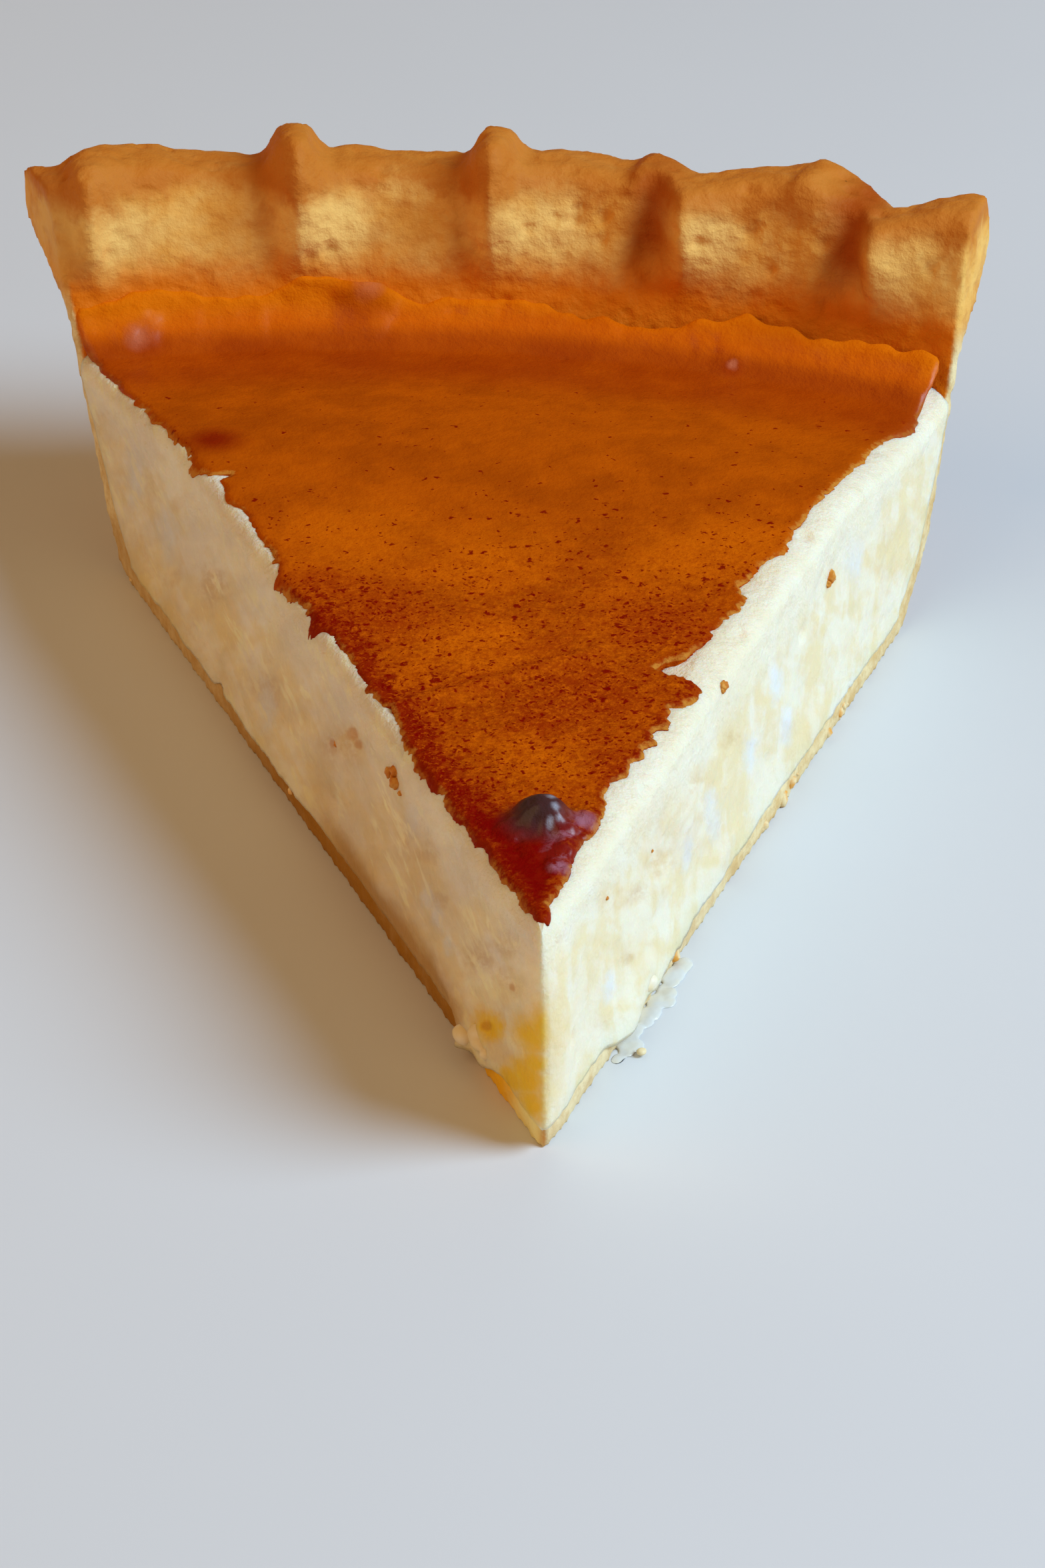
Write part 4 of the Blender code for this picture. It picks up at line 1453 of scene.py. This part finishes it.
# side of the cut, mm along it from and to, height, how far out, size in mm, squash, how many
clumps = {
    "curds": (
        (-1, 12.8, 14.2, 1.9, 0.35, 0.75, 0.9, 4), (-1, 9.5, 11.8, 2.9, 0.10, 0.80, 0.9, 4),
        (1, 19.6, 20.4, 2.6, 0.15, 0.75, 0.9, 3), (1, 14.0, 14.4, 0.3, 1.9, 0.40, 0.6, 2),
    ),
    "whey": (
        (1, 13.0, 17.0, 0.02, 0.30, 0.70, 0.30, 12), (1, 18.0, 26.5, 0.02, 0.35, 0.75, 0.30, 20),
        (1, 14.2, 15.6, 0.02, 0.90, 0.55, 0.30, 4), (1, 21.0, 23.0, 0.02, 1.00, 0.60, 0.30, 4),
    ),
    "voxel": 0.00011,
    "relief": {
        "Lump Size": 0.0016, "Lump Height": 0.00010, "Grain Size": 0.0005, "Grain Height": 0.00002,
        "Pit Size": 0.0009, "Lowest": 0.00002,
    },
}


def makeClump(name, groups, material):  # soft blobs that have run together
    shape = bmesh.new()
    random.seed(5)
    for side, first, last, height, out, size, squash, count in groups:
        for i in range(count):
            run = random.uniform(first, last)
            radius = size * random.uniform(0.6, 1.1)
            spot = plan["tip"] + cutAlong(side) * run / 1000
            spot -= cutInward(side) * (out + random.uniform(-0.35, 0.35) * size) / 1000
            lift = height + random.uniform(-0.3, 0.3) * size * squash
            long = radius * random.uniform(1.0, 1.6)
            stretch = Matrix.Diagonal((radius / 1000, long / 1000, radius * squash / 1000, 1))
            turn = Matrix.Rotation(-side * plan["halfAngle"], 4, "Z")
            matrix = Matrix.Translation((*spot, lift / 1000)) @ turn @ stretch
            bmesh.ops.create_icosphere(shape, subdivisions=3, radius=1.0, matrix=matrix)
    obj = solidObject(name, shape)
    melt(obj, clumps["voxel"], 9)
    return roughen(obj, clumps["relief"], material)


curds = makeClump("curds", clumps["curds"], curdy)
wheyDrops = makeClump("wheyDrops", clumps["whey"], wheyDrop)
print("curds and whey", triangleCount(curds), triangleCount(wheyDrops))

flecks = (  # side of the cut, mm along it, height and size in mm
    (-1, 40.7, 11.4, 0.30), (-1, 27.2, 15.6, 0.62), (-1, 28.2, 15.9, 0.50), (-1, 27.4, 16.4, 0.45),
    (-1, 26.2, 15.2, 0.25), (1, 60.4, 15.4, 0.62), (1, 59.9, 15.1, 0.40), (1, 36.0, 18.6, 0.45),
    (1, 35.7, 18.4, 0.30), (1, 12.2, 14.2, 0.16), (1, 21.0, 13.0, 0.14),
)


def makeFlecks():  # bits of browned skin that the knife dragged onto the cuts
    surface = surfaceOf(cheeseFilling)
    shape = bmesh.new()
    for n, (side, run, height, size) in enumerate(flecks):
        aim = Vector((*(plan["tip"] + cutAlong(side) * run / 1000), height / 1000))
        spot, normal, _, _ = surface.find_nearest(aim)
        turn = normal.to_track_quat("Z", "Y").to_matrix().to_4x4()
        squash = Matrix.Diagonal((size / 1000, size / 1000 * 0.85, size / 1000 * 0.75, 1))
        made = bmesh.ops.create_icosphere(shape, subdivisions=3, radius=1.0)
        for vert in made["verts"]:
            ripple = noise.noise(vert.co * 1.9 + Vector((n * 3.1, 0, 0)))
            vert.co = vert.co * (1 + 0.45 * ripple)
        bmesh.ops.transform(shape, matrix=Matrix.Translation(spot) @ turn @ squash, verts=made["verts"])
    obj = solidObject("toastedFlecks", shape)
    obj.data.materials.append(toasted)
    obj.data.shade_smooth()
    return obj


toastedFlecks = makeFlecks()

for piece, slot in (
    (pastryShell, "pastry"), (crumbs, "pastry"), (cheeseFilling, "cottage_cheese"),
    (curds, "cottage_cheese"), (wheyDrops, "cottage_cheese"), (brownedSkin, "browned_top"),
    (toastedFlecks, "browned_top"),
):
    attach(piece, "root")
    print(piece.name, triangleCount(piece), "triangles")
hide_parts("crust")
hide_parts("filling")

studio = {
    "floorSize": 6.0,
    "lamps": (  # name, direction, distance, size, power and colour
        ("window", (0.85, -0.22, 0.75), 0.9, 0.55, 10.6, (0.56, 0.78, 1.0)),
        ("room", (-0.75, -0.35, 0.65), 1.1, 1.2, 4.1, (0.98, 0.645, 0.315)),
    ),
    "ambient": (0.355, 0.229, 0.124),
    "ambientStrength": 0.55,
}


def floorFinish(graph, place):
    tone = graph.noise(place, 0.05, 2)
    colour = graph.mix(tone, (0.735, 0.735, 0.735), (0.755, 0.755, 0.755))
    return {"Base Color": colour, "Roughness": 0.5 + tone * 0.05}


def makeFloor():
    half = studio["floorSize"] / 2
    mesh = bpy.data.meshes.new("floor")
    corners = [(-half, -half, 0), (half, -half, 0), (half, half, 0), (-half, half, 0)]
    mesh.from_pydata(corners, [], [(0, 1, 2, 3)])
    mesh.materials.append(surfaceMaterial("paleFloor", floorFinish, Specular_IOR_Level=0.3))
    return newObject("floor", mesh)


def addLamp(name, direction, distance, size, power, colour):
    lamp = bpy.data.lights.new(name, "AREA")
    lamp.shape, lamp.size, lamp.energy, lamp.color = "DISK", size, power, colour
    obj = newObject(name, lamp)
    away = Vector(direction).normalized()
    obj.location = away * distance + Vector((0, 0, 0.01))
    obj.rotation_mode = "QUATERNION"
    obj.rotation_quaternion = away.to_track_quat("Z", "Y")


makeFloor()
for lampValues in studio["lamps"]:
    addLamp(*lampValues)

world = bpy.data.worlds.new("room")
world.use_nodes = True
background = world.node_tree.nodes["Background"]
background.inputs["Color"].default_value = (*studio["ambient"], 1)
background.inputs["Strength"].default_value = studio["ambientStrength"]
bpy.context.scene.world = world
bpy.context.scene.view_settings.view_transform = "Standard"

view = {
    "fromTip": Vector((-0.000333, -0.243389, 0.176941)),
    "lens": 99.285,
    "yaw": math.radians(-0.187),
    "pitch": math.radians(31.048),
    "roll": math.radians(-0.847),
}
camera = bpy.data.cameras.new("camera")
camera.sensor_width = 36
camera.lens = view["lens"]
camera.clip_start = 0.01
cameraObject = newObject("camera", camera)
turn = Matrix.Rotation(-view["yaw"], 4, "Z") @ Matrix.Rotation(math.pi / 2 - view["pitch"], 4, "X")
turn = turn @ Matrix.Rotation(view["roll"], 4, "Z")
cameraObject.matrix_world = Matrix.Translation(Vector((*plan["tip"], 0)) + view["fromTip"]) @ turn
bpy.context.scene.camera = cameraObject
